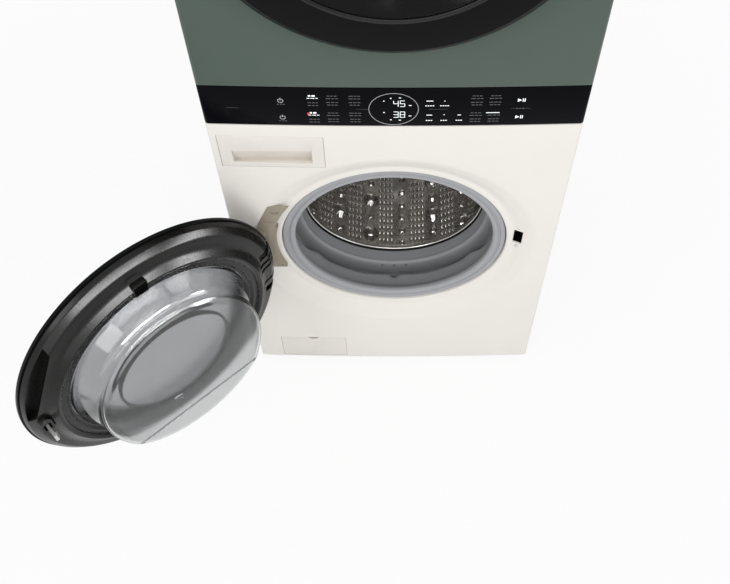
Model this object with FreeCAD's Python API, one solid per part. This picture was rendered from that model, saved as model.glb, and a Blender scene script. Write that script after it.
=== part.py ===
import FreeCAD
import Part
import math
import os

from FreeCAD import Vector

# Stacked washer and dryer tower in one cabinet, in millimetres.
# +Z is up and the front faces -Y. The pieces are drawn about the middle of the cabinet,
# then moved so that the origin is on the floor under the front left foot.
# The washer door stands open at OPEN_ANGLE, the dryer door is shut.

# Cabinet
CABINET_W = 686.0
CABINET_D = 720.0
CABINET_H = 1889.0
SHEET = 1.2
HEM = 16.0
FOLD_R = 2.5
FOOT_H = 18.0
FOOT_R = 22.0
FOOT_TOP_R = 15.4
FOOT_INSET = 62.0
STUD_R = 5.0
BASE_H = 42.0
BASE_WALL = 3.0
TOP_SKIRT = 22.0
FIT = 0.3
RUNNING = 0.05
HAIR = 0.2
PAST = 1.0

# Front panels, one above the other
WASHER_FRONT_H = 893.5
CONTROL_H = 96.0
SEAM = 1.5
CROWN = 6.0
FRONT_WALL = 3.0
LIP_D = 16.0
EDGE_INSET = 3.0
EDGE_R = 6.0
WASHER_AXIS_DROP = 395.5
DRYER_AXIS_UP = 414.0
BOARD_INSET = 68.0
PLUG_W = 80.0
PLUG_D = 12.0
PLUG_H = 14.0

# Dished seat that each door closes into, drawn from the mouth outwards
MOUTH_R = 241.0
MOUTH_RISE = 9.0
MOUTH_BACK = 44.0
MOUTH_FLAT = 15.0
MOUTH_BEVEL = 4.0
MOUTH_EDGE_R = 3.0
SEAT_W = 59.0
DISH_CLEAR = 2.0
DISH_DEPTH = 22.0
DISH_SLOPE = 23.0
DISH_EDGE = 1.0
DISH_EDGE_R = 5.0
DISH_FOOT_R = 8.0

# Doors, the same outside on both machines
RIM_OUT = 34.0
COVER_OUT = 18.0
DOOR_WALL = 3.0
RIM_BAND = 5.0
RIM_BAND_R = 4.0
RIM_LAP = 2.0
RIM_SLOPE = 13.0
RIM_SLOPE_R = 8.0
SNAP = 0.5
RIDGE_W = 7.0
RIDGE_EDGE_R = 3.0
FRAME_BACK = 44.0
FRAME_SKIRT = 5.0
FRAME_SKIRT_R = 2.0
FRAME_STEP_W = 8.0
FRAME_STEP_D = 14.0
FRAME_STEP_R = 6.0
FRAME_SHOULDER_W = 32.0
FRAME_SHOULDER_D = 6.0
FRAME_SHOULDER_R = 12.0
FRAME_CREST_W = 50.0
FRAME_CREST_R = 8.0
BORE_CREST = 17.0
BORE_CREST_R = 7.0
BORE_SEAT = 4.0
BORE_SEAT_R = 3.0
BORE_LIP = 5.0
FLANGE_SINK = 16.0
WINDOW_CONE = 70.0
WINDOW_BACK = 41.0
WINDOW_T = 4.0
WINDOW_LAP = 3.0
WINDOW_ROUND = 6.0
LINER_GAP = 11.0
LINER_T = 4.0
LINER_LAP = 3.0
LINER_SIDE = 5.0
LINER_DRAFT = 10.0
LINER_R = 8.0
LINER_EDGE_R = 3.0
OPEN_ANGLE = 138.0
GRIP_W = 24.0
GRIP_IN = 5.0
GRIP_FROM = 8.0
GRIP_TO = 48.0
SENSOR_W = 14.0
SENSOR_D = 2.0

# Glass bowl of the washer door
BOWL_GAP = 33.0
BOWL_SEAT = 3.0
BOWL_RIB = 18.0
BOWL_TAPER = 24.0
BOWL_WAIST = 88.0
BOWL_WAIST_R = 60.0
BOWL_FOOT = 5.0
BOWL_FOOT_R = 8.0
BOWL_T = 5.0
BOWL_OUT = 128.0
BOWL_END_ROUND = 14.0
BOWL_CREASE = 100.0
BOWL_RAKE = 3.0
BOWL_CHIN = 18.0
FLANGE_LAP = 2.0

# Hinges
HINGE_INSET = 22.0
EAR_T = 14.0
EAR_W = 12.0
EAR_SPAN = 118.0
EAR_CLEAR = 1.5
PLATE_H = 234.0
PLATE_T = 9.0
PLATE_SIDE = 9.0
PLATE_W = 32.0
PIN_R = 5.0
BARREL_R = 9.0
WEB_IN = 4.0
WEB_T = 5.0
WEB_CLEAR = 3.0
BOSS_R = 6.0
BOSS_IN = 9.0
BOSS_UP = 26.0

# Lock
HOOK_OUT = 25.0
HOOK_UP = 17.0
HOOK_T = 6.0
HOOK_H = 20.0
HOOK_REACH = 22.0
HOOK_TOOTH = 4.0
HOOK_TOOTH_LEN = 7.0
HOOK_PIVOT = 20.0
HOOK_SLOT = 5.0
HOOK_SLOT_D = 30.0
HOOK_LUG_W = 14.0
HOOK_LUG_IN = 6.0
HOOK_LUG_SINK = 9.0
LOCK_W = 18.0
LOCK_H = 45.0
LOCK_D = 34.0
LOCK_SIDE = 4.0
LOCK_EAR = 14.0
LOCK_SLOT_IN = 1.5
LOCK_SLOT_OUT = 3.0
LOCK_SLOT_D = 30.0

# Detergent drawer
DRAWER_SIDE = 23.0
DRAWER_W = 189.0
DRAWER_DROP = 31.5
DRAWER_GAP = 1.2
DRAWER_DISH_GAP = 1.2
DRAWER_FACE_T = 14.0
DRAWER_LEN = 318.0
TRAY_WALL = 2.5
TRAY_SIDE = 7.0
CELL_W = 66.0
SCOOP_W = 150.0
SCOOP_D = 24.0
SCOOP_SHIFT = 4.0
SCOOP_SILL = 3.0
SCOOP_HEEL = 8.0
SCOOP_ROUND = 5.0
SCOOP_DROP = 35.0
POCKET_WALL = 3.0
HOUSING_WALL = 2.5
HOUSING_GAP = 1.5
HOUSING_SETBACK = 6.0
HOUSING_END = 4.0
SPOUT_R = 15.0
SPOUT_BORE = 12.0
SPOUT_LEN = 10.0
OUTLET_SIDE = 30.0
OUTLET_END = 34.0
INLET_R = 11.0
INLET_BORE = 8.0
INLET_SIDE = 30.0
INLET_DROP = 20.0
INLET_LEN = 14.0
RAIL_W = 8.0
RAIL_SETBACK = 16.0
RAIL_END = 40.0
RUNNER_IN = 6.0

# Service flap, drain pump and its filter
FLAP_SIDE = 61.0
FLAP_W = 160.0
FLAP_H = 92.0
FLAP_UP = 8.0
FLAP_GAP = 1.2
FLAP_T = 6.0
FLAP_AXIS_IN = 2.5
FLAP_AXIS_UP = 8.0
FLAP_PIN_R = 2.0
FLAP_PIN_LEN = 14.0
FLAP_LUG = 8.0
FLAP_LUG_H = 10.0
FLAP_LUG_D = 6.0
NOTCH_R = 17.0
NOTCH_UP = 10.2
PUMP_R = 40.0
PUMP_UP = 58.0
PUMP_LEN = 190.0
PUMP_SETBACK = 12.0
PUMP_END = 8.0
PUMP_MOTOR_R = 30.0
PUMP_MOTOR_LEN = 60.0
PUMP_FOOT_W = 60.0
PUMP_FOOT_D = 16.0
PUMP_FOOT_IN = 10.0
PUMP_FOOT_BACK = 30.0
PUMP_FOOT_DROP = 16.0
PUMP_SPIGOT = 14.0
PUMP_OUTLET = 12.0
FILTER_R = 32.0
FILTER_LEN = 120.0
FILTER_GAP = 2.0
CAP_IN = 6.0
CAP_T = 8.0
WING_W = 44.0
WING_D = 12.0
WING_T = 10.0
THREAD_LEN = 26.0
BASKET_IN = 6.0
BASKET_WALL = 3.0
BASKET_FLOOR = 4.0
BASKET_SLOT_FROM = 42.0
BASKET_SLOT_PITCH = 24.0
BASKET_SLOT_LEN = 12.0
BASKET_SLOT_H = 14.0

# Washer tub and its gasket
TUB_SIDE_GAP = 44.0
TUB_WALL = 4.0
TUB_JOINT = 16.0
TUB_CHAMFER = 24.0
TUB_SHOULDER = 10.0
TUB_ROUND = 8.0
COLLAR_DROP = 34.3
COLLAR_OUT = 43.0
COLLAR_ROUND = 3.0
HUB_WALL = 20.0
HUB_LEN = 22.0
HUB_IN = 4.0
GASKET_BORE_DROP = 29.0
GASKET_PROUD = 4.0
GASKET_WALL = 5.5
GASKET_ROUND = 2.0
GASKET_LIP = 16.0
GASKET_LIP_EDGE = 5.0
GASKET_STOP = 7.0
GASKET_SLEEVE = 20.0
FOLD_OUT = 10.0
FOLD_START = 12.0
FOLD_LEN = 30.0
FOLD_END = 3.0
FOLD_NECK = 4.0
FOLD_ROUND = 5.0
FOLD_INNER_ROUND = 3.0
WEIGHT_D = 42.0
WEIGHT_W = 17.0
WEIGHT_CLEAR = 6.0
WEIGHT_SWEEP = 48.0
SPRING_ANGLE = 37.0
SPRING_AHEAD = 171.0
SPRING_R = 14.0
SPRING_BORE = 10.0
SPRING_STEM_R = 3.0
SPRING_CAP_R = 12.0
SPRING_CAP_T = 4.0
SPRING_TAIL = 16.0
SPRING_HEAD = 30.0
SPRING_LUG_W = 18.0
SPRING_LUG_D = 12.0
SPRING_LUG_UP = 14.0
DAMPER_ANGLE = 36.0
DAMPER_EYE_OUT = 18.0
DAMPER_SPLAY = 53.0
DAMPER_FRONT = 206.0
DAMPER_REAR = 70.0
DAMPER_R = 16.0
DAMPER_PISTON_R = 8.0
DAMPER_GAP = 2.0
DAMPER_LUG_W = 37.0
DAMPER_LUG = 18.0
DAMPER_FOOT_W = 36.0
DAMPER_FOOT_D = 28.0
DAMPER_FOOT_H = 28.0
DAMPER_FOOT_UP = 22.0

# Washer drum and drive
DRUM_GAP = 14.0
DRUM_WALL = 1.5
DRUM_LIP_DROP = 8.7
DRUM_LIP = 8.0
DRUM_LIP_R = 3.0
DRUM_LIP_W = 9.0
DRUM_CONE = 10.0
DRUM_SHOULDER = 14.0
DRUM_SHOULDER_R = 8.0
DRUM_PRESS_IN = 106.0
DRUM_PRESS_DRAFT = 17.0
DRUM_PRESS = 14.0
DRUM_PRESS_R = 8.0
DRUM_FRONT = 140.0
DRUM_REAR_SPACE = 110.0
LIFTER_H = 52.0
LIFTER_W = 62.0
LIFTER_DRAFT = 12.0
LIFTER_SINK = 5.0
LIFTER_FRONT = 60.0
LIFTER_BACK = 40.0
SHAFT_R = 15.0
SHAFT_END = 28.0
SPIDER_T = 16.0
SPIDER_HUB = 26.0
SPIDER_ARM_W = 36.0
SPIDER_ARM_IN = 12.0
BEARING_R = 26.0
BEARING_W = 12.0
BEARING_GAP = 2.0
STATOR_R = 110.0
STATOR_D = 26.0
STATOR_TOOTH = 28.0
STATOR_TOOTH_W = 10.0
STATOR_TOOTH_IN = 4.0
STATOR_TEETH = 18
STATOR_FIT = 2.0
ROTOR_R = 122.0
ROTOR_START = 4.0
ROTOR_D = 30.0
ROTOR_WALL = 4.0
ROTOR_HUB = 9.0
ROTOR_BOSS = 5.0
ROTOR_AIR = 3.0

# Washer water
SUMP_R = 24.0
SUMP_BORE = 20.0
SUMP_SIDE = 56.0
SUMP_END = 20.0
SUMP_BEND = 40.0
SUMP_GAP = 2.0
SUMP_SPIGOT = 24.0
FEED_R = 15.5
FEED_GAP = 1.0
FEED_SPIGOT = 14.0
FILL_BACK = 40.0
FILL_BEND = 30.0
VALVE_X = 215.0
VALVE_PITCH = 60.0
VALVE_THREAD_R = 13.2
VALVE_NECK = 1.0
VALVE_WALL = 4.0
VALVE_OUT = 20.0
VALVE_R = 20.0
VALVE_LEN = 46.0
VALVE_SIDE = 30.0
VALVE_PLATE_H = 52.0
VALVE_PLATE_T = 3.0
COIL_W = 28.0
COIL_IN = 4.0
COIL_H = 46.0
DRAIN_R = 15.0
DRAIN_WALL = 3.0
DRAIN_SIDE = 53.0
DRAIN_RISE = 4.0
DRAIN_RUN = 90.0
DRAIN_BEND = 30.0
DRAIN_LIFT_BEND = 60.0
SPIGOT_R = 16.0
SPIGOT_OUT = 24.0

# Mains inlet
GLAND_R = 11.1
GLAND_WALL = 5.0
GLAND_SIDE = 88.0
GLAND_UP = 75.0
GLAND_OUT = 12.0
TERMINAL_W = 90.0
TERMINAL_UP = 40.0
TERMINAL_WALL = 3.0
TERMINAL_GAP = 2.0

# Dryer drum and bulkheads
DRYER_SIDE_GAP = 21.0
DRYER_DRUM_WALL = 1.5
DRYER_DRUM_FRONT = 85.0
DRYER_DRUM_GAP = 3.0
DRYER_REAR_SPACE = 30.0
DRYER_LIFTER_W = 60.0
DRYER_LIFTER_DRAFT = 12.0
DRYER_LIFTER_H = 58.0
DRYER_LIFTER_R = 10.0
DRYER_LIFTER_FRONT = 70.0
DRYER_LIFTER_BACK = 60.0
DECK_DROP = 10.0
DECK_FLANGE = 24.0
BULKHEAD_GAP = 2.0
FUNNEL_DROP = 10.0
FUNNEL_WALL = 3.0
FUNNEL_SETBACK = 6.0
FUNNEL_IN = 12.0
GLIDE_W = 8.0
GLIDE_IN = 14.0
CONE_T = 2.0
CONE_LAP = 4.0
VENT_R = 9.0
VENT_PITCH = 34.0
VENT_UP = 90.0
VENT_COLUMNS = 4
VENT_ROWS = 2
ROLLER_R = 26.0
ROLLER_W = 20.0
ROLLER_ANGLE = 30.0
ROLLER_BACK = 45.0
ROLLER_AXLE_R = 6.0
ROLLER_AXLE_END = 4.0
ROLLER_COLLAR = 4.0

# Dryer air path
DUCT_GAP = 2.0
DUCT_D = 20.0
DUCT_WALL = 2.0
DUCT_SIDE = 140.0
DUCT_END = 60.0
DUCT_UP = 36.0
DUCT_LAP = 20.0
LINT_W = 244.0
LINT_GAP = 4.0
LINT_TOP = 3.0
LINT_FRAME = 10.0
LINT_FOOT = 12.0
LINT_HEAD = 40.0
LINT_WALL = 3.0
LINT_BARS = 4
LINT_BAR = 8.0
LINT_GRIP_W = 120.0
LINT_GRIP_H = 10.0
LINT_GRIP_T = 1.5
BLOWER_R = 80.0
BLOWER_D = 54.0
BLOWER_WALL = 2.0
BLOWER_EYE = 44.0
BLOWER_FOOT_W = 60.0
BLOWER_FOOT_IN = 8.0
BLOWER_FOOT_LAP = 4.0
WHEEL_IN = 8.0
WHEEL_D = 36.0
WHEEL_GAP = 8.0
WHEEL_HUB_R = 14.0
WHEEL_RING = 14.0
WHEEL_WALL = 2.0
WHEEL_BLADES = 18
EXHAUST_R = 48.0
EXHAUST_WALL = 1.5
EXHAUST_UP = 7.0
EXHAUST_NECK = 12.0
EXHAUST_BEND = 40.0
EXHAUST_SIDE = 199.0
EXHAUST_OUT = 40.0
SLEEVE_LEN = 40.0
SLEEVE_UP = 26.0
COLLAR_OUT_R = 50.0
HEATER_W = 330.0
HEATER_H = 180.0
HEATER_WALL = 2.0
HEATER_GAP = 2.0
BAR_IN = 8.0
BAR_D = 6.0
BAR_T = 4.0
BAR_COUNT = 5

# Dryer motor and belt
MOTOR_X = 225.0
MOTOR_UP = 91.0
MOTOR_R = 52.0
MOTOR_LEN = 120.0
MOTOR_GAP = 20.0
MOTOR_SHAFT_R = 7.0
MOTOR_FOOT_W = 80.0
MOTOR_FOOT_IN = 10.0
MOTOR_FOOT_LAP = 26.0
SHAFT_HOLE_R = 9.0
PULLEY_R = 12.0
PULLEY_GAP = 12.0
PULLEY_FLANGE = 4.0
PULLEY_FLANGE_T = 2.0
SHAFT_TAIL = 4.0
BELT_W = 10.0
BELT_T = 3.0

# Worked-out planes
HALF_W = CABINET_W / 2
FRONT_Y = -CABINET_D / 2
BACK_Y = CABINET_D / 2
INSIDE = HALF_W - SHEET
FRONT_HALF = HALF_W - EDGE_INSET
LIP_Y = FRONT_Y + LIP_D
REAR_FLANGE_Y = BACK_Y - 2 * SHEET
CROWN_R = (HALF_W ** 2 + CROWN ** 2) / (2 * CROWN)
AHEAD_Y = FRONT_Y - 2 * CROWN
WASHER_TOP = FOOT_H + WASHER_FRONT_H
CONTROL_Z0 = WASHER_TOP + SEAM
CONTROL_Z1 = CONTROL_Z0 + CONTROL_H
DRYER_Z0 = CONTROL_Z1 + SEAM
WASHER_Z = WASHER_TOP - WASHER_AXIS_DROP
DRYER_Z = DRYER_Z0 + DRYER_AXIS_UP
DECK_Z = CONTROL_Z1 - DECK_DROP
DRYER_TOP = CABINET_H - SHEET - TOP_SKIRT - BULKHEAD_GAP
FAR = 2 * CABINET_H

# Worked-out doors
MOUTH_LIP_R = MOUTH_R + MOUTH_FLAT
DOOR_R = MOUTH_R + SEAT_W
DISH_R = DOOR_R + DISH_CLEAR
DISH_FLOOR_R = DISH_R - DISH_SLOPE
DISH_FLOOR_Y = FRONT_Y + DISH_DEPTH
BOWL_R = MOUTH_R - BOWL_GAP
BOWL_END_R = BOWL_R - BOWL_TAPER
FRAME_BORE = BOWL_R + BOWL_SEAT
RIB_R = FRAME_BORE + BOWL_RIB
RIDGE_R = RIB_R - RIDGE_W
WINDOW_RIM_R = RIDGE_R - WINDOW_LAP
WINDOW_R = WINDOW_RIM_R - WINDOW_CONE
RIM_Y = FRONT_Y - RIM_OUT
FRAME_Y = RIM_Y + FRAME_BACK
FLANGE_BACK = FRAME_BACK - FLANGE_SINK
FLANGE_FRONT = FLANGE_BACK - BOWL_T
HINGE_X = HINGE_INSET - DOOR_R
WEB_END_X = -(RIB_R + DOOR_WALL + WEB_CLEAR)
HOOK_R = MOUTH_R + HOOK_OUT
HOOK_Z = WASHER_Z + HOOK_UP
HOOK_Y = FRAME_Y - HOOK_PIVOT

# Worked-out drawer, flap and pump
DRAWER_X0 = DRAWER_SIDE - HALF_W
DRAWER_X1 = DRAWER_X0 + DRAWER_W
DRAWER_Z1 = WASHER_TOP - DRAWER_DROP
DRAWER_REACH = DISH_R + FRONT_WALL + DRAWER_DISH_GAP
DRAWER_Z0 = WASHER_Z + math.sqrt(DRAWER_REACH ** 2 - (DRAWER_X1 + DRAWER_GAP) ** 2) + DRAWER_GAP
TRAY_Y = FRONT_Y + DRAWER_FACE_T
FLAP_X0 = FLAP_SIDE - HALF_W
FLAP_X1 = FLAP_X0 + FLAP_W
FLAP_Z0 = FOOT_H + FLAP_UP
FLAP_Z1 = FLAP_Z0 + FLAP_H
FLAP_AXIS_Y = FRONT_Y + FLAP_AXIS_IN
FLAP_AXIS_Z = FLAP_Z0 + FLAP_AXIS_UP
PUMP_X = FLAP_X0 + FLAP_W / 2
PUMP_Y0 = LIP_Y + SHEET + PUMP_SETBACK
PUMP_Y1 = PUMP_Y0 + PUMP_LEN
PUMP_Z = FLAP_Z0 + PUMP_UP
SUMP_Y = LIP_Y + PUMP_LEN - SUMP_END
SUMP_X = PUMP_X + PUMP_R + SUMP_SIDE
DRAIN_X = DRAIN_SIDE - HALF_W
DRAIN_Z = FOOT_H + BASE_H + DRAIN_R + DRAIN_RISE
DRAIN_BORE = DRAIN_R - DRAIN_WALL

# Worked-out tub and drum
TUB_R = INSIDE - TUB_SIDE_GAP
TUB_BORE = TUB_R - TUB_WALL
DRUM_R = TUB_BORE - DRUM_GAP
DRUM_FRONT_Y = FRONT_Y + DRUM_FRONT
DRUM_BACK_Y = BACK_Y - DRUM_REAR_SPACE
SPIDER_Y = DRUM_BACK_Y + SPIDER_T
TUB_FRONT_Y = DRUM_FRONT_Y + TUB_JOINT
TUB_PLATE_Y = DRUM_FRONT_Y - TUB_JOINT
TUB_BACK_Y = SPIDER_Y + DRUM_GAP
HUB_END_Y = TUB_BACK_Y + HUB_LEN
COLLAR_R = MOUTH_R - COLLAR_DROP
COLLAR_Y = DRUM_FRONT_Y - COLLAR_OUT
DRUM_MOUTH_R = COLLAR_R - DRUM_LIP_DROP
GASKET_BORE = MOUTH_R - GASKET_BORE_DROP
FOLD_R_OUT = MOUTH_R + FOLD_OUT
LIFTER_ANGLES = (90, 210, 330)

# Worked-out dryer
DRYER_DRUM_R = INSIDE - DRYER_SIDE_GAP
DRYER_FRONT_Y = FRONT_Y + DRYER_DRUM_FRONT
DRYER_BULKHEAD_Y = BACK_Y - DRYER_REAR_SPACE
DRYER_PLATE_Y = DRYER_BULKHEAD_Y + 2 * SHEET
GLIDE_R = DRYER_DRUM_R - DRYER_DRUM_WALL - FIT
FUNNEL_R = MOUTH_R - FUNNEL_DROP
DUCT_Y0 = FRONT_Y + MOUTH_BACK + DUCT_GAP
DUCT_Y1 = DUCT_Y0 + DUCT_D
DUCT_Z = DECK_Z + DUCT_UP
BLOWER_Y0 = DUCT_Y1 + 2 * SHEET
BLOWER_Y1 = BLOWER_Y0 + BLOWER_D
WHEEL_Y = BLOWER_Y0 + WHEEL_IN
MOTOR_Y0 = BLOWER_Y1 + MOTOR_GAP
MOTOR_Y1 = MOTOR_Y0 + MOTOR_LEN
MOTOR_Z = DECK_Z + MOTOR_UP
BELT_Y = MOTOR_Y1 + PULLEY_GAP
EXHAUST_X = EXHAUST_SIDE - HALF_W
EXHAUST_Z = DECK_Z + EXHAUST_R + EXHAUST_UP
EXHAUST_BORE = EXHAUST_R - EXHAUST_WALL
NECK_X = MOTOR_X - BLOWER_R - EXHAUST_NECK
NECK_Y = BLOWER_Y0 + EXHAUST_R + BLOWER_WALL
ROLLER_Y0 = DRYER_BULKHEAD_Y - ROLLER_BACK
ROLLER_Y1 = ROLLER_Y0 + ROLLER_W
GLAND_X = GLAND_SIDE - HALF_W
GLAND_Z = DECK_Z + GLAND_UP
GLAND_OUT_R = GLAND_R + GLAND_WALL
VALVE_Y = REAR_FLANGE_Y - VALVE_LEN


# Shape helpers
def box(x, y, z):
    return Part.makeBox(x[1] - x[0], y[1] - y[0], z[1] - z[0], Vector(x[0], y[0], z[0]))


def around(middle, width):
    return middle - width / 2, middle + width / 2


def rod(radius, start, end):
    a, b = Vector(*start), Vector(*end)
    return Part.makeCylinder(radius, (b - a).Length, a, b - a)


def tube(outer, inner, start, end):
    return rod(outer, start, end).cut(rod(inner, start, end))


def ring_y(outer, inner, y, x=0.0, z=0.0):
    return tube(outer, inner, (x, y[0], z), (x, y[1], z))


def disc_y(radius, y, x=0.0, z=0.0):
    return rod(radius, (x, y[0], z), (x, y[1], z))


def fused(shapes):
    whole = shapes[0].multiFuse(shapes[1:]) if len(shapes) > 1 else shapes[0]
    return whole.removeSplitter()


def outline(points, place):
    """Closed wire through (a, b) or (a, b, round) points, put into space by place."""
    corners = [(Vector(p[0], p[1], 0), p[2] if len(p) > 2 else 0.0) for p in points]
    runs = []
    for i, (here, radius) in enumerate(corners):
        if not radius:
            runs.append((here, None, here))
            continue
        before = (corners[i - 1][0] - here).normalize()
        after = (corners[(i + 1) % len(corners)][0] - here).normalize()
        half = before.getAngle(after) / 2
        reach = radius / math.tan(half)
        middle = here + (before + after).normalize() * (radius / math.sin(half) - radius)
        runs.append((here + before * reach, middle, here + after * reach))
    edges = []
    for i, (start, middle, end) in enumerate(runs):
        if middle is not None:
            edges.append(Part.Arc(place(start), place(middle), place(end)).toShape())
        following = runs[(i + 1) % len(runs)][0]
        if (following - end).Length > 1e-6:
            edges.append(Part.LineSegment(place(end), place(following)).toShape())
    return Part.Wire(edges)


def turned(points, z, y0):
    """Solid turned about a fore-and-aft axis at height z from (radius, distance behind y0) points."""
    face = Part.Face(outline(points, lambda p: Vector(p.x, y0 + p.y, z)))
    return face.revolve(Vector(0, 0, z), Vector(0, 1, 0), 360)


def prism_x(points, x):
    """Solid of (y, z) points, drawn out along X."""
    face = Part.Face(outline(points, lambda p: Vector(x[0], p.x, p.y)))
    return face.extrude(Vector(x[1] - x[0], 0, 0))


def prism_z(points, z):
    """Solid of (x, y) points, drawn out along Z."""
    face = Part.Face(outline(points, lambda p: Vector(p.x, p.y, z[0])))
    return face.extrude(Vector(0, 0, z[1] - z[0]))


def prism_y(points, y):
    """Solid of (x, z) points, drawn out along Y."""
    face = Part.Face(outline(points, lambda p: Vector(p.x, y[0], p.y)))
    return face.extrude(Vector(0, y[1] - y[0], 0))


def turn_about(shape, z, angle):
    """The shape turned about the fore-and-aft axis at height z, from straight up to the given angle."""
    moved = shape.copy()
    moved.rotate(Vector(0, 0, z), Vector(0, 1, 0), 90 - angle)
    return moved


def sector(inner, outer, start, end, y, z):
    """Ring segment between two angles, seen from the front, drawn out along Y."""
    def at(radius, angle):
        return Vector(radius * math.cos(angle), y[0], z + radius * math.sin(angle))
    a, b = math.radians(start), math.radians(end)
    mid = (a + b) / 2
    edges = [
        Part.Arc(at(outer, a), at(outer, mid), at(outer, b)).toShape(),
        Part.LineSegment(at(outer, b), at(inner, b)).toShape(),
        Part.Arc(at(inner, b), at(inner, mid), at(inner, a)).toShape(),
        Part.LineSegment(at(inner, a), at(outer, a)).toShape(),
    ]
    return Part.Face(Part.Wire(edges)).extrude(Vector(0, y[1] - y[0], 0))


def pipe(points, radii, outer, inner):
    """Hose along straight runs joined by tangent arcs of the given radii."""
    corners = [Vector(*p) for p in points]
    edges = []
    start = corners[0]
    for here, after, radius in zip(corners[1:-1], corners[2:], radii):
        u = (start - here).normalize()
        v = (after - here).normalize()
        half = u.getAngle(v) / 2
        reach = radius / math.tan(half)
        middle = here + (u + v).normalize() * (radius / math.sin(half) - radius)
        edges.append(Part.LineSegment(start, here + u * reach).toShape())
        edges.append(Part.Arc(here + u * reach, middle, here + v * reach).toShape())
        start = here + v * reach
    edges.append(Part.LineSegment(start, corners[-1]).toShape())
    path = Part.Wire(edges)
    heading = corners[1] - corners[0]

    def swept(radius):
        circle = Part.Wire(Part.makeCircle(radius, corners[0], heading))
        return path.makePipeShell([circle], True, False)
    return swept(outer).cut(swept(inner))


def crown(inset):
    axis_y = FRONT_Y - CROWN + CROWN_R
    return Part.makeCylinder(CROWN_R - inset, 2 * FAR, Vector(0, axis_y, -FAR))


def crowned(x, z, back_y, inset=0.0):
    """Block whose front face follows the crown of the front, inset behind it."""
    return box(x, (AHEAD_Y, back_y), z).common(crown(inset))


def front_tray(z0, z1):
    """Pressed front: a crowned face with rounded sides and a folded lip all round."""
    outer = crowned((-FRONT_HALF, FRONT_HALF), (z0, z1), LIP_Y)
    upright = [e for e in outer.Edges
               if abs(e.BoundBox.ZLength - (z1 - z0)) < HAIR and e.CenterOfMass.y < FRONT_Y + PAST]
    outer = outer.makeFillet(EDGE_R, upright)
    wide = FRONT_HALF - FRONT_WALL
    inner = crowned((-wide, wide), (z0 + FRONT_WALL, z1 - FRONT_WALL), LIP_Y + PAST, FRONT_WALL)
    return outer.cut(inner)


# Cabinet
def base_pan():
    half = INSIDE - FIT
    y = (LIP_Y + SHEET + FIT, REAR_FLANGE_Y - FIT)
    z = (FOOT_H, FOOT_H + BASE_H)
    pan = box((-half, half), y, z)
    w = BASE_WALL
    pan = pan.cut(box((-half + w, half - w), (y[0] + w, y[1] - w), (z[0] + w, z[1] + PAST)))
    notch = around(PUMP_X, 2 * (PUMP_R + w))
    pan = pan.cut(box(notch, (y[0] - PAST, y[0] + 2 * w), (PUMP_Z - PUMP_R - w, z[1] + PAST)))
    for x, foot_y in foot_places():
        boss = rod(3 * STUD_R, (x, foot_y, z[0]), (x, foot_y, z[1] - w))
        bore = rod(STUD_R + RUNNING, (x, foot_y, z[0] - PAST), (x, foot_y, z[1] - 2 * w))
        pan = pan.fuse(boss).cut(bore)
    return pan.removeSplitter()


def foot_places():
    x, y = HALF_W - FOOT_INSET, BACK_Y - FOOT_INSET
    return [(-x, -y), (x, -y), (-x, y), (x, y)]


def levelling_feet():
    nut_h = FOOT_H / 3
    pad_h = FOOT_H - nut_h
    feet = []
    for x, y in foot_places():
        pad = Part.makeCone(FOOT_R, FOOT_TOP_R, pad_h, Vector(x, y, 0))
        nut = prism_z([(x + 2 * STUD_R * math.cos(math.radians(60 * k)),
                        y + 2 * STUD_R * math.sin(math.radians(60 * k))) for k in range(6)],
                      (pad_h, FOOT_H))
        stud = rod(STUD_R, (x, y, pad_h), (x, y, FOOT_H + BASE_H - 3 * BASE_WALL))
        feet.append(fused([pad, nut, stud]))
    return Part.makeCompound(feet)


def side_panel(side):
    """Full-height side sheet with a flange folded in at the front and at the back."""
    z = (FOOT_H, CABINET_H - SHEET)
    x0, x1 = INSIDE, HALF_W
    back = BACK_Y - SHEET
    sheet = prism_z([(x1 - HEM, LIP_Y), (x1, LIP_Y, FOLD_R), (x1, back, FOLD_R), (x1 - HEM, back),
                     (x1 - HEM, back - SHEET), (x0, back - SHEET), (x0, LIP_Y + SHEET),
                     (x1 - HEM, LIP_Y + SHEET)], z)
    return sheet if side > 0 else sheet.mirror(Vector(0, 0, 0), Vector(1, 0, 0))


def top_cover():
    z = CABINET_H - SHEET
    plate = box((-HALF_W, HALF_W), (LIP_Y, BACK_Y), (z, CABINET_H))
    half, y = INSIDE - FIT, (LIP_Y + SHEET + FIT, REAR_FLANGE_Y - FIT)
    skirt = box((-half, half), y, (z - TOP_SKIRT, z))
    hollow = box((-half + SHEET, half - SHEET), (y[0] + SHEET, y[1] - SHEET), (z - TOP_SKIRT - PAST, z))
    return fused([plate, skirt.cut(hollow)])


def back_cover(z, holes):
    sheet = box((-HALF_W + SEAM, HALF_W - SEAM), (BACK_Y - SHEET, BACK_Y), z)
    for x, up, radius in holes:
        sheet = sheet.cut(disc_y(radius, (BACK_Y - 2 * SHEET, BACK_Y + PAST), x, up))
    return sheet


def washer_back_cover():
    holes = [(x, valve_z(), VALVE_THREAD_R - VALVE_NECK + HAIR) for x in valve_places()]
    holes.append((DRAIN_X, DRAIN_Z, DRAIN_R + HAIR))
    return back_cover((FOOT_H, DECK_Z - SEAM), holes)


def dryer_back_cover():
    holes = [(EXHAUST_X, EXHAUST_Z, EXHAUST_R + HAIR), (GLAND_X, GLAND_Z, GLAND_OUT_R + HAIR)]
    return back_cover((DECK_Z, CABINET_H - SHEET), holes)


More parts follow.
